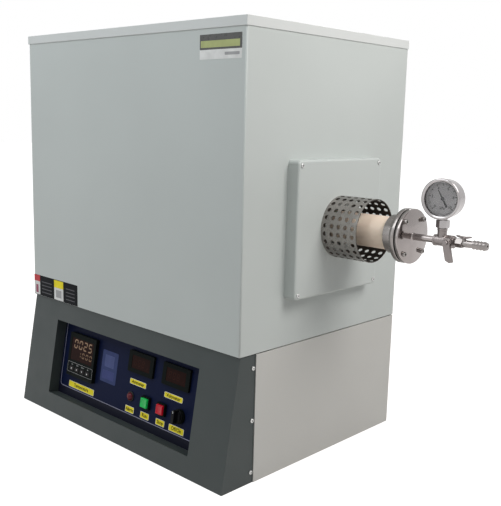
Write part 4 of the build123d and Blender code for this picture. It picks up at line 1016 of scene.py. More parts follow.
# ---- tube end ------------------------------------------------------------------------------------------------
@dataclass
class TubeGuard(SubAssembly):
    """Perforated sleeve round one end of the work tube, with its flange on the side cover."""

    side: Side
    radius: float = 58.75
    wall: float = 1.2
    flange: float = 10.0
    hole_r: float = 4.2
    columns: int = 24
    rows: int = 5
    pitch: float = 15.3
    first: float = 8.9

    def spot(self, angle: float, z: float, radius: float) -> Triple:
        """A point on a cylinder."""
        return radius * math.cos(angle), radius * math.sin(angle), z

    def middle(self, column: int) -> float:
        """The direction of a column's middle, in radians."""
        return 2 * math.pi * (column + 0.5) / self.columns

    def add_cell(self, blank: Blank, column: int, row: int) -> None:
        """Add one punched field: outer skin, hole wall and inner skin.

        Args:
            blank: the sleeve's mesh.
            column: field number round the sleeve.
            row: field number along it.
        """
        middle, z = self.middle(column), self.first + row * self.pitch
        rows = []
        for radius in (self.radius, self.radius - self.wall):
            edge, hole = [], []
            for k in range(16):
                u, v = math.cos(math.pi * k / 8), math.sin(math.pi * k / 8)
                out = max(abs(u), abs(v))
                side = middle + u / out * math.pi / self.columns
                edge.append(self.spot(side, z + v / out * self.pitch / 2, radius))
                hole.append(self.spot(middle + self.hole_r * u / radius, z + self.hole_r * v, radius))
            rows.append((blank.row(edge), blank.row(hole)))
        (edge, hole), (edge_in, hole_in) = rows
        blank.skin((edge, hole, hole_in, edge_in), ends=False)

    def ring(self, blank: Blank, radius: float, z: float) -> Row:
        """A ring whose points fall on the fields' edge points.

        Args:
            blank: the sleeve's mesh.
            radius: its radius.
            z: its height on the sleeve.

        Returns:
            The ring's points.
        """
        shares = (-1.0, -math.tan(math.pi / 8), 0.0, math.tan(math.pi / 8))
        offsets = [share * math.pi / self.columns for share in shares]
        angles = [self.middle(column) + offset for column in range(self.columns) for offset in offsets]
        return blank.row(self.spot(angle, z, radius) for angle in angles)

    def build(self) -> None:
        """Make the sleeve in place of the solid one."""
        node = f"tube_guard_{self.side.word}"
        low, high = solid_box(node)
        length = high.x - low.x
        start = low.x if self.side is Side.RIGHT else -high.x
        blank = Blank()
        for column in range(self.columns):
            for row in range(self.rows):
                self.add_cell(blank, column, row)
        near = self.first - self.pitch / 2
        far = near + self.rows * self.pitch
        wall, outer, inner = self.wall, self.radius, self.radius - self.wall
        eye = inner - self.flange
        for run in (
            ((outer, far), (outer, length), (inner, length), (inner, far)),
            ((inner, near), (inner, wall), (eye, wall), (eye, 0.0), (outer, 0.0), (outer, near)),
        ):
            blank.skin([self.ring(blank, radius, z) for radius, z in run], ends=False)
        place = along_x(start - HALF_WIDTH, self.side)
        sleeve = self.put(
            f"perforated_guard_{self.side.word}", blank, "guard", "stainless", node, place=place
        )
        # the inner skin and the hole walls take the near-black steel: painted shade inside the sleeve
        sleeve.data.materials.append(self.finishes["guard_inside"])
        for face in sleeve.data.polygons:
            out = Vector((face.center.y, face.center.z - AXIS_Z * MM)).length / MM
            face.material_index = 0 if out > outer - 0.25 * wall else 1


@dataclass
class VacuumFlange(SubAssembly):
    """Bolted flange at one end of the tube: neck ring, end disc with its pipe, and four socket screws."""

    side: Side
    neck_start: float = 144.0
    neck_r: float = 35.0
    neck_bore: float = 30.3
    ring_start: float = 167.5
    ring_t: float = 9.5
    radius: float = 49.0
    gasket_t: float = 2.5
    cap_t: float = 7.0
    pipe_r: float = 6.0
    pipe_bore: float = 3.0
    weld: float = 2.6
    bolt_circle: float = 40.5
    bolt_r: float = 4.3
    bolt_h: float = 5.0
    key: float = 4.0
    key_depth: float = 2.5

    def ring(self) -> None:
        """Turn the neck and its bolting ring, with the shallow relief at the root of the neck."""
        x, t, r = self.ring_start - self.neck_start, self.ring_t, self.radius
        neck, bore = self.neck_r, self.neck_bore
        rings = [
            (0, bore), (0, neck - 1.2), (1.2, neck), (x - 2.5, neck), (x - 2.2, neck - 0.5), (x, neck - 0.5),
            (x, r - 1.2), (x + 0.35, r - 0.35), (x + 1.2, r), (x + t - 1.0, r), (x + t - 0.3, r - 0.3),
            (x + t, r - 1.0), (x + t, bore), (0, bore),
        ]
        word, place = self.side.word, along_x(self.neck_start, self.side)
        blank = Blank().turn(rings, steps=120)
        self.put(f"flange_neck_{word}", blank, "turned", "stainless", f"flange_ring_{word}", place=place)

    def cap(self) -> None:
        """Turn the end disc with a facing land, the weld round the pipe and the pipe itself."""
        t, r, pipe, bore, weld = self.cap_t, self.radius, self.pipe_r, self.pipe_bore, self.weld
        start = self.ring_start + self.ring_t + self.gasket_t
        length = TEE_START - start
        rings = [
            (0, bore), (0, r - 1.0), (0.3, r - 0.3), (1.0, r), (t - 1.4, r), (t - 0.4, r - 0.4), (t, r - 1.4),
            *arc(t + weld, pipe + weld, weld, -90, -180), (length, pipe), (length, bore), (0, bore),
        ]
        word, place = self.side.word, along_x(start, self.side)
        blank = Blank().turn(rings, steps=120)
        self.put(f"flange_end_{word}", blank, "face", "stainless", f"flange_cap_{word}", place=place)

    def screws(self) -> None:
        """Add the four socket-head screws with their hexagon sockets."""
        r, h, key = self.bolt_r, self.bolt_h, self.key
        face = self.ring_start + self.ring_t + self.gasket_t + self.cap_t
        rings = [
            (-2, 2.5), (0, 2.5), (0, r), (h - 0.6, r), (h - 0.2, r - 0.2), (h, r - 0.6), (h, r, key + 0.4),
            (h - 0.3, r, key), (h - self.key_depth, r, key),
        ]
        reach = self.bolt_circle * math.cos(math.pi / 4)
        blank = Blank()
        for across in (-reach, reach):
            for up in (-reach, reach):
                blank.turn(rings, along_x(face, self.side, across, AXIS_Z + up), 36)
        self.put(f"socket_screws_{self.side.word}", blank, "bolt", "polished_steel", "flange_bolts")

    def build(self) -> None:
        """Make the ring, the end disc and this side's screws."""
        self.ring()
        self.cap()
        self.screws()


@dataclass
class GasLine(SubAssembly):
    """Tee, and the shut-off valve with its lever, at the gauge end."""

    tee_r: float = 10.2
    tee_length: float = 23.0
    gauge_x: float = 243.0
    boss_r: float = 8.6
    boss_bore: float = 5.1
    boss_top: float = 22.0
    valve_length: float = 16.0
    valve_across: float = 19.0
    bonnet_r: float = 6.5
    bonnet_bore: float = 3.1
    bonnet_reach: float = 12.5
    lever_gap: float = 0.3
    lever_w: float = 13.0
    lever_t: float = 5.0
    lever_up: float = 8.0
    lever_down: float = 35.0
    lever_bevel: float = 5.0
    lever_tilt: float = 14.0
    nut_across: float = 8.0
    nut_r: float = 4.6
    pin_r: float = 3.0

    @property
    def valve_x(self) -> float:
        """Where the shut-off valve begins, from the cabinet's side."""
        return TEE_START + self.tee_length

    @property
    def spindle(self) -> Matrix:
        """The middle of the shut-off valve."""
        return at(HALF_WIDTH + self.valve_x + self.valve_length / 2, 0, AXIS_Z)

    def tee(self) -> None:
        """Turn the run and the boss, with a bead at each joint."""
        l, r, b, top = self.tee_length, self.tee_r, self.boss_r, self.boss_top
        run = [
            (0, r - 1.2), (1.0, r), (4.0, r), (4.6, r - 0.7), (l - 4.6, r - 0.7), (l - 4.0, r), (l - 1.0, r),
            (l, r - 1.2),
        ]
        boss = [
            (0, b - 0.5), (top - 5.0, b - 0.5), (top - 4.4, b), (top - 0.8, b), (top, b - 0.8),
            (top, self.boss_bore), (top - 8.8, self.boss_bore),
        ]
        blank = Blank().turn(run, along_x(TEE_START))
        blank.turn(boss, at(HALF_WIDTH + self.gauge_x, 0, AXIS_Z), 60)
        self.put("tee", blank, "cast", "stainless", "gauge_tee")

    def valve(self) -> None:
        """Make the shut-off valve's hexagon and its bonnet."""
        b, reach, bore = self.bonnet_r, self.bonnet_reach, self.bonnet_bore
        bonnet = [
            (0, b), (reach - 2.2, b), (reach - 1.8, b - 0.6), (reach - 0.6, b - 0.6), (reach, b - 1.2),
            (reach, bore), (reach - 8.2, bore),
        ]
        body = hexagon(0, self.valve_length, self.valve_across)
        blank = Blank().turn(body, along_x(self.valve_x) @ HALF_FLAT)
        blank.turn(bonnet, self.spindle @ FORWARD, 48)
        self.put("shut_off_valve", blank, "cast", "stainless", "ball_valve_body")

    def lever(self) -> None:
        """Cut the flat lever with rounded corners, its spindle and its nut."""
        w, up, down, bevel = self.lever_w / 2, self.lever_up, self.lever_down, self.lever_bevel
        corners = [
            (-w, -down + bevel), (0.0, -down), (w, -down), (w, up - bevel), (w - bevel, up), (-w + bevel, up),
            (-w, up - bevel),
        ]
        face, across = self.bonnet_reach + self.lever_gap, self.nut_across
        top = face + self.lever_t
        blank = Blank().prism(softened(corners, 1.2), face, top, 0.7)
        pin, nut = self.pin_r, self.nut_r
        blank.turn([(self.bonnet_reach - 8.0, pin), (face + 0.1, pin)], steps=36)
        blank.turn([(top, nut, across), (top + 2.2, nut, across), (top + 3.0, nut - 0.9, across)], steps=36)
        place = self.spindle @ spun(-self.lever_tilt, "Y") @ FORWARD
        self.put("lever", blank, "cast", "stainless", "ball_valve_lever", body="valve_lever", place=place)

    def build(self) -> None:
        """Make the tee, the shut-off valve and its lever."""
        self.tee()
        self.valve()
        self.lever()


@dataclass
class NozzleValve(SubAssembly):
    """Small valve with a butterfly handle and a ribbed hose nozzle."""

    side: Side
    start: float
    port: str
    link_r: float = 5.0
    link_l: float = 3.5
    across: float = 15.0
    hex_l: float = 12.5
    barrel_r: float = 6.4
    barrel_l: float = 18.5
    barbs: int = 4
    pitch: float = 6.2
    root_r: float = 6.2
    crest_r: float = 7.8
    bore_r: float = 2.0
    bore_l: float = 20.0
    hub_r: float = 4.0
    spindle_r: float = 2.0
    wing_span: float = 29.0
    wing_t: float = 3.0
    wing_h: float = 5.0
    wing_tip_h: float = 2.5

    @property
    def handle_x(self) -> float:
        """X of the handle's spindle."""
        return self.side.value * (HALF_WIDTH + self.start + self.link_l + self.hex_l)

    def body(self) -> None:
        """Turn the link, the hexagon, the barrel and the barbs in one piece."""
        r, bore = self.barrel_r, self.bore_r
        x = self.link_l + self.hex_l
        rings = [(0, self.link_r), (self.link_l, self.link_r), *hexagon(self.link_l, self.hex_l, self.across)]
        rings += [
            (x, r - 0.4), (x + 1.5, r), (x + 7.0, r), (x + 7.4, r - 0.5), (x + 8.6, r - 0.5), (x + 9.0, r),
        ]
        x += self.barrel_l
        for _ in range(self.barbs):
            rings += [(x, self.root_r - 0.3), (x + 0.4, self.crest_r), (x + 1.2, self.crest_r)]
            x += self.pitch
            rings.append((x, self.root_r))
        rings += [(x, bore + 0.5), (x - 0.5, bore), (x - self.bore_l, bore)]
        node = f"{self.port}_valve_body"
        seat = solid_box(node)[1].z - AXIS_Z
        top, seal = self.hub_r, self.spindle_r + 0.1
        hub = [(0, top), (seat - 0.5, top), (seat, top - 0.5), (seat, seal), (seat - 4.2, seal)]
        blank = Blank().turn(rings, along_x(self.start, self.side))
        blank.turn(hub, at(self.handle_x, 0, AXIS_Z), 36)
        self.put(f"{node}_turned", blank, "turned", "stainless", node)

    def handle(self) -> None:
        """Make the butterfly handle: wings that dip to the hub in the middle, and the spindle."""
        half, h, tip, r = self.wing_span / 2, self.wing_h, self.wing_tip_h, self.hub_r
        right = [
            (4.6, 0.0), (half - 2.0, h - tip), (half, h - tip + 1.0), (half - 1.0, h), (half - 5.0, h - 0.05),
            (4.5, h - 0.9),
        ]
        wings = softened(right + [(-x, y) for x, y in reversed(right)], 0.9)
        blank = Blank().prism(wings, -self.wing_t / 2, self.wing_t / 2, 0.5, FORWARD)
        pin = self.spindle_r
        blank.turn([(-4.0, pin), (0, pin), (0, r), (3.0, r), (3.6, r - 0.6)], steps=36)
        node = f"{self.port}_valve_handle"
        place = at(self.handle_x, 0, solid_box(node)[1].z - h)
        body = f"{self.port}_handle"
        self.put(f"{node}_wings", blank, "cast", "polished_steel", node, body=body, place=place)

    def build(self) -> None:
        """Make the valve and its handle."""
        self.body()
        self.handle()


@dataclass
class PressureGauge(SubAssembly):
    """Round gauge: case with stem, polished bezel, printed dial and needle."""

    joint: dict
    case_r: float = 33.0
    wall: float = 2.0
    back: float = -13.0
    rim: float = 12.5
    fold: float = 4.0
    bezel_r: float = 35.0
    bezel_depth: float = 6.0
    bezel_inner: float = 29.5
    bezel_seat: float = 3.8
    lip: float = 2.5
    stem_r: float = 5.0
    nut_up: float = 22.0
    nut_l: float = 14.0
    nut_across: float = 20.0
    neck_r: float = 7.4
    neck_l: float = 7.0
    dial_at: float = 6.5
    tick_r: float = 26.5
    major_tick: Pair = (4.2, 1.2)
    minor_tick: Pair = (2.2, 0.55)
    number_r: float = 19.3
    number_h: float = 6.6
    unit_h: float = 6.5
    unit_down: float = 16.0
    arc_start: float = 225.0
    arc_sweep: float = 270.0
    major: int = 10
    minor: int = 5
    needle_tip: float = 17.0
    needle_tail: float = 16.0
    needle_rest: float = 31.0

    @property
    def place(self) -> Matrix:
        """The gauge's own frame: x to the reader's right, y up, z out of the dial.

        Returns:
            The placement.
        """
        back = Vector(self.joint["axis"])
        out, up = -back if back.y > 0 else back, Vector((0, 0, 1))
        turn = Matrix((up.cross(out), up, out)).transposed().to_4x4()
        return Matrix.Translation(Vector(self.joint["pos_m"]) / MM) @ turn

    def case(self) -> None:
        """Spin the case with its rolled back edge and stand it on the hexagon of the stem."""
        r, t, back, rim, fold = self.case_r, self.wall, self.back, self.rim, self.fold
        cup = [
            (back, 0.5), (back, r - fold), *arc(back + fold, r - fold, fold, -90, 0, 8)[1:], (rim - 3.0, r),
            (rim - 2.6, r - 0.5), (rim, r - 0.5), (rim, r - t), (back + t, r - t), (back + t, 0.5), (back, 0.5),
        ]
        nut = AXIS_Z + self.nut_up
        shoulder = nut + self.nut_l
        stem = [
            (solid_box("gauge_case")[0].z, self.stem_r), (nut, self.stem_r),
            *hexagon(nut, self.nut_l, self.nut_across), (shoulder, self.neck_r),
            (shoulder + self.neck_l, self.neck_r),
        ]
        blank = Blank().turn(cup, self.place, 96)
        blank.turn(stem, at(self.joint["pos_m"][0] / MM, 0, 0) @ HALF_FLAT)
        self.put("gauge_cup", blank, "polished", "polished_steel", "gauge_case")

    def bezel(self) -> None:
        """Turn the bezel ring with a rolled lip and a step down to the glass."""
        z, r, d, inner, lip = self.rim, self.bezel_r, self.bezel_depth, self.bezel_inner, self.lip
        seat = r - self.bezel_seat
        rings = [
            (z, seat), (z, r - 0.6), (z + 0.6, r), *arc(z + d - lip, r - lip, lip, 0, 90, 8),
            (z + d - 0.4, inner + 1.6), (z + d - 1.6, inner), (z + 2.1, inner), (z + 2.1, seat), (z, seat),
        ]
        blank = Blank().turn(rings, self.place, 96)
        self.put("gauge_bezel_ring", blank, "polished", "polished_steel", "gauge_bezel")

    def scale(self) -> None:
        """Print the divisions, the numbers and the unit on the dial."""
        steps = self.major * self.minor
        z0, z1 = self.dial_at, self.dial_at + 0.1
        blank = Blank()
        for i in range(steps + 1):
            length, width = self.minor_tick if i % self.minor else self.major_tick
            turn = spun(self.arc_start - self.arc_sweep * i / steps) @ at(self.tick_r - length, 0, 0)
            tick = [(0.0, -width / 2), (length, -width / 2), (length, width / 2), (0.0, width / 2)]
            blank.prism(tick, z0, z1, 0.0, self.place @ turn)
        self.put("dial_divisions", blank, "black_ink", "dial_white")
        for i in range(0, self.major + 1, 2):
            angle = math.radians(self.arc_start - self.arc_sweep * i / self.major)
            spot = self.place @ at(self.number_r * math.cos(angle), self.number_r * math.sin(angle), z1)
            self.letter(f"dial_number_{i}", str(i), self.number_h, spot, "black_ink", "dial_white")
        spot = self.place @ at(0, -self.unit_down, z1)
        self.letter("dial_unit", "kPa", self.unit_h, spot, "black_ink", "dial_white")

    def needle(self) -> None:
        """Make the tapered needle with its broad tail and domed hub."""
        tail, z = self.needle_tail, self.dial_at + 0.3
        left = [(-0.4, self.needle_tip), (-1.4, 0.0), (-1.2, -4.0), (-1.9, -tail + 1.0), (-1.2, -tail)]
        blank = Blank().prism(left + [(-x, y) for x, y in reversed(left)], z, z + 0.8)
        blank.turn([(z, 3.0), (z + 1.2, 3.0), (z + 1.9, 2.4), (z + 2.2, 1.2)], steps=36)
        place = self.place @ spun(self.needle_rest)
        self.put("pointer", blank, "black_ink", "needle_black", "gauge_needle", body="needle", place=place)

    def build(self) -> None:
        """Make the gauge from the case outwards."""
        self.case()
        self.bezel()
        self.scale()
        self.needle()


# ---- control panel -------------------------------------------------------------------------------------------
SEGMENTS = {"0": "abcdef", "1": "bc", "2": "abged", "5": "afgcd", "8": "abcdefg"}


@dataclass
class SlopingFace:
    """The console's sloping front, with x across, y up the slope and z out of it."""

    origin: Vector
    slope: float

    @classmethod
    def from_frame(cls) -> "SlopingFace":
        """Read the face from the deck's front edge and the console's foot.

        Returns:
            The face.
        """
        top_y = solid_box("deck_plate")[0].y
        low, high = solid_box("console_housing")
        return cls(Vector((0, top_y, high.z)), math.atan2(top_y - low.y, high.z))

    def at(self, x: float = 0.0, y: float = 0.0, z: float = 0.0) -> Matrix:
        """A place on the face.

        Args:
            x: across.
            y: up the slope.
            z: out of the face.

        Returns:
            The placement.
        """
        c, s = math.cos(self.slope), math.sin(self.slope)
        axes = Matrix(((1, 0, 0), (0, s, c), (0, -c, s))).transposed().to_4x4()
        return Matrix.Translation(self.origin) @ axes @ at(x, y, z)

    def extent(self, node: bpy.types.Object, near_x: float = 0.0, reach: float = 1e6) -> tuple[Vector, Vector]:
        """Lowest and highest corner of a node in the face's own axes.

        Args:
            node: the node's object.
            near_x: middle of the band in which points count.
            reach: half width of that band.

        Returns:
            The two corners.
        """
        inverse = self.at().inverted()
        points = [inverse @ (v.co / MM) for v in node.data.vertices]
        points = [p for p in points if abs(p.x - near_x) <= reach]
        return tuple(Vector(tuple(pick(p[i] for p in points) for i in range(3))) for pick in (min, max))


@dataclass
class PanelPart(SubAssembly):
    """A group of pieces on the console's sloping face."""

    face: SlopingFace


@dataclass(frozen=True)
class Digits:
    """Sizes of a row of seven-segment figures."""

    height: float
    width: float
    pitch: float
    stroke: float
    lean: float = 0.09

    def add_bar(self, blank: Blank, segment: str, place: Matrix) -> None:
        """Add one segment of a figure.

        Args:
            blank: the mesh to add to.
            segment: its letter, a to g.
            place: the middle of the figure on the window.
        """
        w, h, s = self.width / 2, self.height / 4, self.stroke / 2
        mx, my = {
            "a": (0, 2 * h - s), "d": (0, -2 * h + s), "g": (0, 0), "b": (w - s, h), "c": (w - s, -h),
            "e": (-w + s, -h), "f": (-w + s, h),
        }[segment]
        flat = segment in "adg"
        half = w if flat else h
        bar = [
            (-half + s, 0), (-half + 2 * s, -s), (half - 2 * s, -s), (half - s, 0), (half - 2 * s, s),
            (-half + 2 * s, s),
        ]
        points = [(u + mx, v + my) if flat else (mx - v, my + u) for u, v in bar]
        blank.prism([(x + y * self.lean, y) for x, y in points], 0.0, 0.05, 0.0, place)

    def row(self, figures: str, place: Matrix) -> Blank:
        """Make a row of figures.

        Args:
            figures: the digits to show.
            place: the middle of the row on the window.

        Returns:
            The row's mesh.
        """
        blank = Blank()
        for i, figure in enumerate(figures):
            for segment in SEGMENTS[figure]:
                self.add_bar(blank, segment, place @ at((i - (len(figures) - 1) / 2) * self.pitch, 0, 0))
        return blank


@dataclass
class ControlPanel(PanelPart):
    """Printed film of the panel: border line, dark foot band, pale block and word plates."""

    depth: float = -25.0
    film: float = 0.12
    print_t: float = 0.05
    layer: float = 0.04
    word_h: float = 10.0
    word_fit: float = 1.75
    window: Pair = (470.0, 166.0)
    window_top: float = 41.5
    line_left: float = -230.0
    line_bottom: float = -189.6
    line_w: float = 1.4
    corner_r: float = 9.0
    plate_rim: float = 0.8
    blocks: tuple[tuple[str, int, Label], ...] = (
        ("pale_block", 1, Label(-88, -34, -145, -77, "blue_ink", 3.0)),
        ("pale_block_head", 2, Label(-78, -46, -112, -86, "pale_ink", 2.0)),
        ("pale_block_foot", 2, Label(-82, -42, -138, -119, "violet_ink", 2.0)),
    )
    plates: tuple[tuple[str, Label], ...] = (
        ("Temperature", Label(-197.0, -103.0, -185.7, -171.8, "white_ink", 2.0)),
        ("Ammeter", Label(13.4, 65.2, -126.0, -114.7, "white_ink", 2.0)),
        ("Voltmeter", Label(122.5, 176.5, -126.0, -114.9, "white_ink", 2.0)),
        ("Alarm", Label(9.0, 37.0, -185.9, -172.6, "white_ink", 2.0)),
        ("Run", Label(58.2, 85.7, -185.6, -172.4, "white_ink", 2.0)),
        ("Stop", Label(107.1, 133.8, -185.5, -172.7, "white_ink", 2.0)),
        ("Off/On", Label(147.0, 191.0, -185.9, -172.7, "white_ink", 2.0)),
    )

    def block(self, name: str, label: Label, level: int) -> None:
        """Lay one printed block on the film; level 0 is printed first."""
        thickness = self.print_t + self.layer * level
        self.lay(name, label, thickness, self.face.at(z=self.depth + self.film), "panel_film")

    def border(self) -> None:
        """Print the thin line down the left side, round the corner and along the foot."""
        x, y, r, w = self.line_left, self.line_bottom, self.corner_r, self.line_w
        path = [(x, -self.window_top, 1.0, 0.0)]
        for i in range(9):
            a = math.pi + math.pi / 2 * i / 8
            path.append((x + r + r * math.cos(a), y + r + r * math.sin(a), -math.cos(a), -math.sin(a)))
        path.append((self.window[0] / 2, y, 0.0, 1.0))
        blank = Blank()
        rows = [
            blank.row((px + nx * k * w, py + ny * k * w, dz) for px, py, nx, ny in path)
            for k, dz in ((0, 0), (0, 0.05), (1, 0.05), (1, 0))
        ]
        blank.skin(rows + rows[:1], closed=False, ends=False)
        place = self.face.at(z=self.depth + self.film + 0.06)
        self.put("panel_border", blank, "trim_line", "panel_film", place=place)

    def build(self) -> None:
        """Dress the plate and lay everything printed on it."""
        self.dress(control_panel=("panel", 0.0))
        half, foot = self.window[0] / 2, -self.window_top - self.window[1]
        self.block("foot_band", Label(-half, half, foot, self.line_bottom - 0.2, "band", 0.01), 0)
        self.border()
        for name, level, label in self.blocks:
            self.block(name, label, level)
        for word, plate in self.plates:
            key = word.lower().replace("/", "_")
            self.block(f"plate_rim_{key}", plate, 1)
            self.block(f"plate_{key}", plate.inset(self.plate_rim, "yellow_ink"), 3)
            height = min(self.word_h, (plate.right - plate.left) / len(word) * self.word_fit)
            place = self.face.at(*plate.middle, self.depth + self.film + self.print_t + 4 * self.layer)
            self.letter(f"word_{key}", word, height, place, "black_ink", "panel_film")


@dataclass
class Controller(PanelPart):
    """Temperature controller: bezel, window with two rows of figures, marked key strip and keys."""

    signs: tuple[tuple[str, float | None], ...] = (
        ("set_key", None), ("shift_key", 90.0), ("down_key", 180.0), ("up_key", 0.0),
    )
    sign_r: float = 2.1
    upper_at: Pair = (2.0, 25.0)
    lower_at: Pair = (13.0, 3.6)
    dot: Pair = (3.2, 1.6)
    dot_pitch: float = 11.0
    dot_down: float = 7.5
    strip: Pair = (92.0, 22.6)
    strip_r: float = 2.0
    strip_line: float = 0.6
    strip_at: Pair = (0.2, -28.4)
    word_h: float = 4.2
    word_pitch: float = 19.5
    word_down: float = 21.6
    upper: Digits = Digits(20.0, 13.0, 17.5, 2.8)
    lower: Digits = Digits(12.5, 8.6, 13.5, 1.9)

    def key(self, node: str, turn: float | None) -> None:
        """Mould one key with soft edges and print its sign.

        Args:
            node: the solid key.
            turn: how far its arrow is turned from upwards, or None for a ring.
        """
        low, high = self.face.extent(self.nodes[node])
        x, y, _ = (low + high) / 2
        spot, top, r = self.face.at(x, y), high.z, self.sign_r
        pad = Blank().prism(rounded(high.x - low.x, high.y - low.y, 1.2), low.z, top, 0.7)
        self.put(f"{node}_pad", pad, "key", "key_grey", node, body=node, place=spot)
        if turn is None:
            rings = [(top, r), (top + 0.05, r), (top + 0.05, 0.6 * r), (top, 0.6 * r), (top, r)]
            sign = Blank().turn(rings, steps=36)
        else:
            arrow = [(-r, -0.7 * r), (r, -0.7 * r), (0.0, r)]
            sign = Blank().prism(arrow, top, top + 0.05, 0.0, spun(turn))
        self.put(f"{node}_sign", sign, "white_ink", "key_grey", body=node, place=spot)

    def build(self) -> None:
        """Dress the case and add the window, the figures, the strip and the keys."""
        self.dress(temperature_controller=("bezel", 0.5))
        low, high = self.face.extent(self.nodes["temperature_controller"])
        x, y, _ = (low + high) / 2
        front = high.z
        pane = self.face.extent(self.nodes["display_windows"], x, 50.0)[1].z + 0.02
        (dx, dy), (lower_dx, lower_dy) = self.upper_at, self.lower_at
        upper = self.upper.row("0025", self.face.at(x + dx, y + dy, pane))
        self.put("upper_figures", upper, "amber", "filter_red")
        lower = self.lower.row("1000", self.face.at(x + lower_dx, y + lower_dy, pane))
        self.put("lower_figures", lower, "dim_amber", "filter_red")
        for i in range(4):
            dot = Blank().prism(rounded(*self.dot, 0.5, 3), 0.0, 0.05)
            place = self.face.at(x + (i - 1.0) * self.dot_pitch, y - self.dot_down, pane)
            self.put(f"state_lamp_{i}", dot, "dim_segment", "filter_red", place=place)
        (width, height), line, r = self.strip, self.strip_line, self.strip_r
        outer, inner = rounded(width, height, r), rounded(width - 2 * line, height - 2 * line, r - line)
        blank = Blank()
        lines = ((outer, 0.0), (outer, 0.07), (inner, 0.07), (inner, 0.0))
        rows = [blank.row((px, py, z) for px, py in edge) for edge, z in lines]
        blank.skin(rows + rows[:1], ends=False)
        place = self.face.at(x + self.strip_at[0], y + self.strip_at[1], front - 0.02)
        self.put("key_strip_frame", blank, "silver_ink", "instrument_black", place=place)
        for i, word in enumerate(("Set", "Shift", "Down", "Up")):
            spot = self.face.at(x + (i - 1.5) * self.word_pitch, y - self.word_down, front)
            self.letter(f"key_word_{i}", word, self.word_h, spot, "silver_ink", "instrument_black")
        for node, turn in self.signs:
            self.key(node, turn)


@dataclass
class Meters(PanelPart):
    """The two panel meters: bezels, dark windows, unlit figures and unit letters."""

    meters: tuple[tuple[str, float], ...] = (("A", 45.5), ("V", 153.5))
    figures: Digits = Digits(14.0, 8.0, 12.0, 1.5)
    figures_left: float = 5.0
    unit_h: float = 5.0
    unit_at: Pair = (21.0, -6.0)

    def build(self) -> None:
        """Dress the cases and windows and add the figures."""
        self.dress(panel_meters=("bezel", 0.5), display_windows=("meter_window", 0.0))
        for unit, x in self.meters:
            low, high = self.face.extent(self.nodes["display_windows"], x, 35.0)
            y, z = (low.y + high.y) / 2, high.z + 0.02
            row = self.figures.row("888", self.face.at(x - self.figures_left, y, z))
            self.put(f"figures_{unit}", row, "dim_segment", "filter_red")
            spot = self.face.at(x + self.unit_at[0], y + self.unit_at[1], z)
            self.letter(f"unit_{unit}", unit, self.unit_h, spot, "dim_segment", "filter_red")


@dataclass
class PushButtons(PanelPart):
    """The square run and stop buttons with their housings, and the round alarm lamp."""

    collar_h: float = 2.4
    collar_w: float = 2.2
    lens_gap: float = 2.3
    rib: float = 0.25

    def cap(self, node: str, finish: str, slot: str) -> None:
        """Mould a lit cap with a raised rim and a shallow dished middle.

        Args:
            node: the solid cap and its body.
            finish: its finish.
            slot: its material slot.
        """
        low, high = self.face.extent(self.nodes[node])
        x, y, _ = (low + high) / 2
        top = high.z
        layers = (
            (1.0, low.z), (1.0, top - 1.0), (0.975, top - 0.3), (0.92, top), (0.80, top), (0.74, top - 0.35),
        )
        outline = rounded(high.x - low.x, high.y - low.y, 1.2)
        blank = Blank()
        blank.skin([blank.row((px * k, py * k, z) for px, py in outline) for k, z in layers])
        self.put(f"{node}_cap", blank, finish, slot, node, body=node, place=self.face.at(x, y))

    def lamp(self) -> None:
        """Turn the alarm lamp: a collar, a groove and the domed lens with its ribs."""
        low, high = self.face.extent(self.nodes["alarm_lamp"])
        x, y, _ = (low + high) / 2
        place = self.face.at(x, y, low.z)
        r, h = (high.x - low.x) / 2, high.z - low.z
        lip, eye = self.collar_h, r - self.collar_w
        collar = [(0, r), (lip - 0.8, r), (lip, r - 0.8), (lip, eye), (0, eye), (0, r)]
        ring = Blank().turn(collar, steps=60)
        self.put("alarm_collar", ring, "black", "instrument_black", place=place)
        lens_r, rib = r - self.lens_gap, self.rib
        dome = [(0.2, lens_r)]
        for i in range(11):
            a = math.pi / 2 * i / 11
            dome.append((2.0 + (h - 2.0) * math.sin(a), lens_r * math.cos(a) - (rib if i % 2 else 0.0)))
        dome.append((h, 0.4))
        lens = Blank().turn(dome, steps=60)
        self.put("alarm_lens", lens, "alarm", "lamp_red", "alarm_lamp", place=place)

    def build(self) -> None:
        """Make the caps, dress their housings and make the lamp."""
        self.dress(switch_housings=("bezel", 0.4))
        self.cap("run_button", "green", "run_green")
        self.cap("stop_button", "red", "stop_red")
        self.lamp()


@dataclass
class Selector(PanelPart):
    """Rotary selector knob: skirt, grip bar and a white pointer line."""

    height: float = 16.0
    skirt_h: float = 7.0
    bar_w: float = 8.0
    line_w: float = 1.1
    line_share: float = 0.20
    line_at: float = 0.36

    def build(self) -> None:
        """Make the knob and its line in place of the solid one."""
        low, high = self.face.extent(self.nodes["selector_knob"])
        x, y, _ = (low + high) / 2
        place = self.face.at(x, y)
        length, r, top = high.y - low.y, (high.x - low.x) / 2, high.z
        foot = top - self.height
        skirt = [
            (low.z, 3.0), (foot, 3.0), (foot, r), (foot + 2.2, r), (foot + 3.0, r - 0.8), (foot + 5.6, r - 1.2),
            (foot + 6.6, r - 1.9), (foot + self.skirt_h, r - 3.0),
        ]
        blank = Blank().turn(skirt, steps=60)
        blank.prism(rounded(self.bar_w, length, 3.4, 7), foot + 3.0, top, 1.1)
        self.put(
            "selector_grip", blank, "knob", "instrument_black", "selector_knob", body="selector", place=place
        )
        line = Blank().prism(rounded(self.line_w, length * self.line_share, 0.5, 3), 0.0, 0.08)
        spot = place @ at(0, length * self.line_at, top - 0.02)
        self.put("selector_line", line, "white_ink", "instrument_black", body="selector", place=spot)


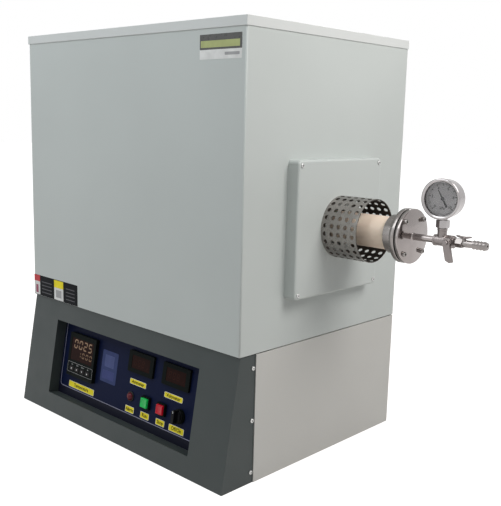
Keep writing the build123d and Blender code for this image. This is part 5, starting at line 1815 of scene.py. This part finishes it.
# ---- inside and rear -----------------------------------------------------------------------------------------
@dataclass
class HotZone(SubAssembly):
    """Finishes of the tube, the chamber lining, the elements, the seals and the gauge's dial and glass."""

    edge: float = 0.8
    rod_edge: float = 0.4
    seal_edge: float = 0.3

    def build(self) -> None:
        """Dress each node of the heated part."""
        self.dress(
            work_tube=("alumina", self.edge), inner_casing=("zinc_sheet", 0.0),
            insulation_lower=("fibre", 0.0), insulation_upper=("fibre", 0.0),
            heating_elements=("carbide", self.rod_edge), element_holders=("holder", self.edge),
            thermocouple=("probe", self.edge), flange_seals=("rubber", self.seal_edge),
            # the dial's mid-grey finish is painted shade on a white dial
            gauge_dial=("dial", 0.0), gauge_glass=("glass", 0.0),
        )


@dataclass
class Electrics(SubAssembly):
    """Finishes of the parts in the base and on the rear panel, with their small fittings."""

    case_edge: float = 0.8
    frame_edge: float = 0.6
    gland_edge: float = 0.5
    block_edge: float = 0.4
    metal_edge: float = 0.3

    def build(self) -> None:
        """Dress the electrical nodes."""
        self.dress(
            cooling_fan_frame=("black", self.frame_edge), cooling_fan_rotor=("fan_black", 0.0),
            fan_grille=("grille", self.block_edge), transformer=("varnish", self.gland_edge),
            power_regulator=("aluminium", self.metal_edge), contactor=("grey_case", self.case_edge),
            terminal_block=("grey_case", self.block_edge), supply_gland=("gland", self.gland_edge),
            earth_stud=("brass", self.metal_edge),
        )


@dataclass
class RearWall(SubAssembly):
    """Pressed hoods over the rear louvres and the screws that hold both rear sheets."""

    columns: Triple = (-190.0, 0.0, 190.0)
    rows: int = 8
    width: float = 116.0
    slot_h: float = 6.0
    lead: float = 2.5
    pitch: float = 16.0
    drop: float = 60.0
    depth: float = 4.5
    skin: float = 0.8
    screw_r: float = 3.6
    screw_h: float = 1.9
    screw_lip: float = 1.2
    margin: float = 9.0
    screw_rows: tuple[tuple[str, int], ...] = (("upper_rear_panel", 4), ("lower_rear_panel", 3))

    def add_hood(self, blank: Blank, place: Matrix) -> None:
        """Add one hood: closed at the top and the ends, open below.

        Args:
            blank: the mesh to add to.
            place: the middle of the slot's top edge, on the sheet's outer face.
        """
        steps, outer, inner = 8, [], []
        for i in range(steps + 1):
            a = math.pi / 2 * i / steps
            y, z = self.depth * math.sin(a), self.lead - (self.slot_h + self.lead) * (1 - math.cos(a))
            outer.append((y, z))
            inner.append((max(0.0, y - self.skin), z - self.skin * math.cos(a)))
        profile = outer + inner[::-1]
        rows = []
        for share, pull in ((-1.0, 0.35), (-0.93, 1.0), (0.93, 1.0), (1.0, 0.35)):
            rows.append(blank.row(((share * self.width / 2, y * pull, z) for y, z in profile), place))
        blank.skin(rows)

    def hoods(self) -> None:
        """Press every louvre."""
        high = solid_box("upper_rear_panel")[1]
        blank = Blank()
        for x in self.columns:
            for row in range(self.rows):
                self.add_hood(blank, at(x, high.y, high.z - self.drop - row * self.pitch))
        self.put("louvre_hoods", blank, "cabinet", "cabinet_paint")

    def screws(self) -> None:
        """Add a row of pan-head screws down each side of both sheets."""
        r, h, lip = self.screw_r, self.screw_h, self.screw_lip
        profile = [(0, r), *arc(h - lip, r - lip, lip, 0, 90, 4), (h, 0.4 * r)]
        cross = rounded(1.1 * r, 0.8, 0.2, 2)
        heads, slots = Blank(), Blank()
        for node, count in self.screw_rows:
            low, high = solid_box(node)
            for side in (-1, 1):
                for i in range(count):
                    z = low.z + 2 * self.margin + (high.z - low.z - 4 * self.margin) * i / (count - 1)
                    place = at(side * (high.x - self.margin), high.y, z) @ spun(-90, "X")
                    heads.turn(profile, place, 36)
                    for turn in (15 + 20 * i, 105 + 20 * i):
                        slots.prism(cross, h - 0.5, h + 0.02, 0.0, place @ spun(turn))
        self.put("rear_screws", heads, "zinc", "polished_steel")
        self.put("rear_screw_recesses", slots, "black", "polished_steel")

    def build(self) -> None:
        """Make the hoods and the screws."""
        self.hoods()
        self.screws()


def main() -> None:
    """Build every sub-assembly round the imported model."""
    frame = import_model()
    Studio().build()
    shared = (Finishes(), frame["nodes"])
    needle = next(joint for joint in frame["joints"] if joint["name"] == "needle_turn")
    face = SlopingFace.from_frame()
    parts = [Cabinet(*shared), SheetScrews(*shared)]
    for side in Side:
        parts += [TubeGuard(*shared, side), VacuumFlange(*shared, side)]
    parts += [
        GasLine(*shared), NozzleValve(*shared, Side.RIGHT, 268.0, "outlet"),
        NozzleValve(*shared, Side.LEFT, TEE_START, "inlet"), PressureGauge(*shared, needle),
    ]
    parts += [kind(*shared, face) for kind in (ControlPanel, Controller, Meters, PushButtons, Selector)]
    parts += [HotZone(*shared), Electrics(*shared), RearWall(*shared)]
    for part in parts:
        part.build()
        LOG.info("%s built", type(part).__name__)


if __name__ == "__main__":
    logging.basicConfig(level=logging.INFO, format="%(message)s")
    main()
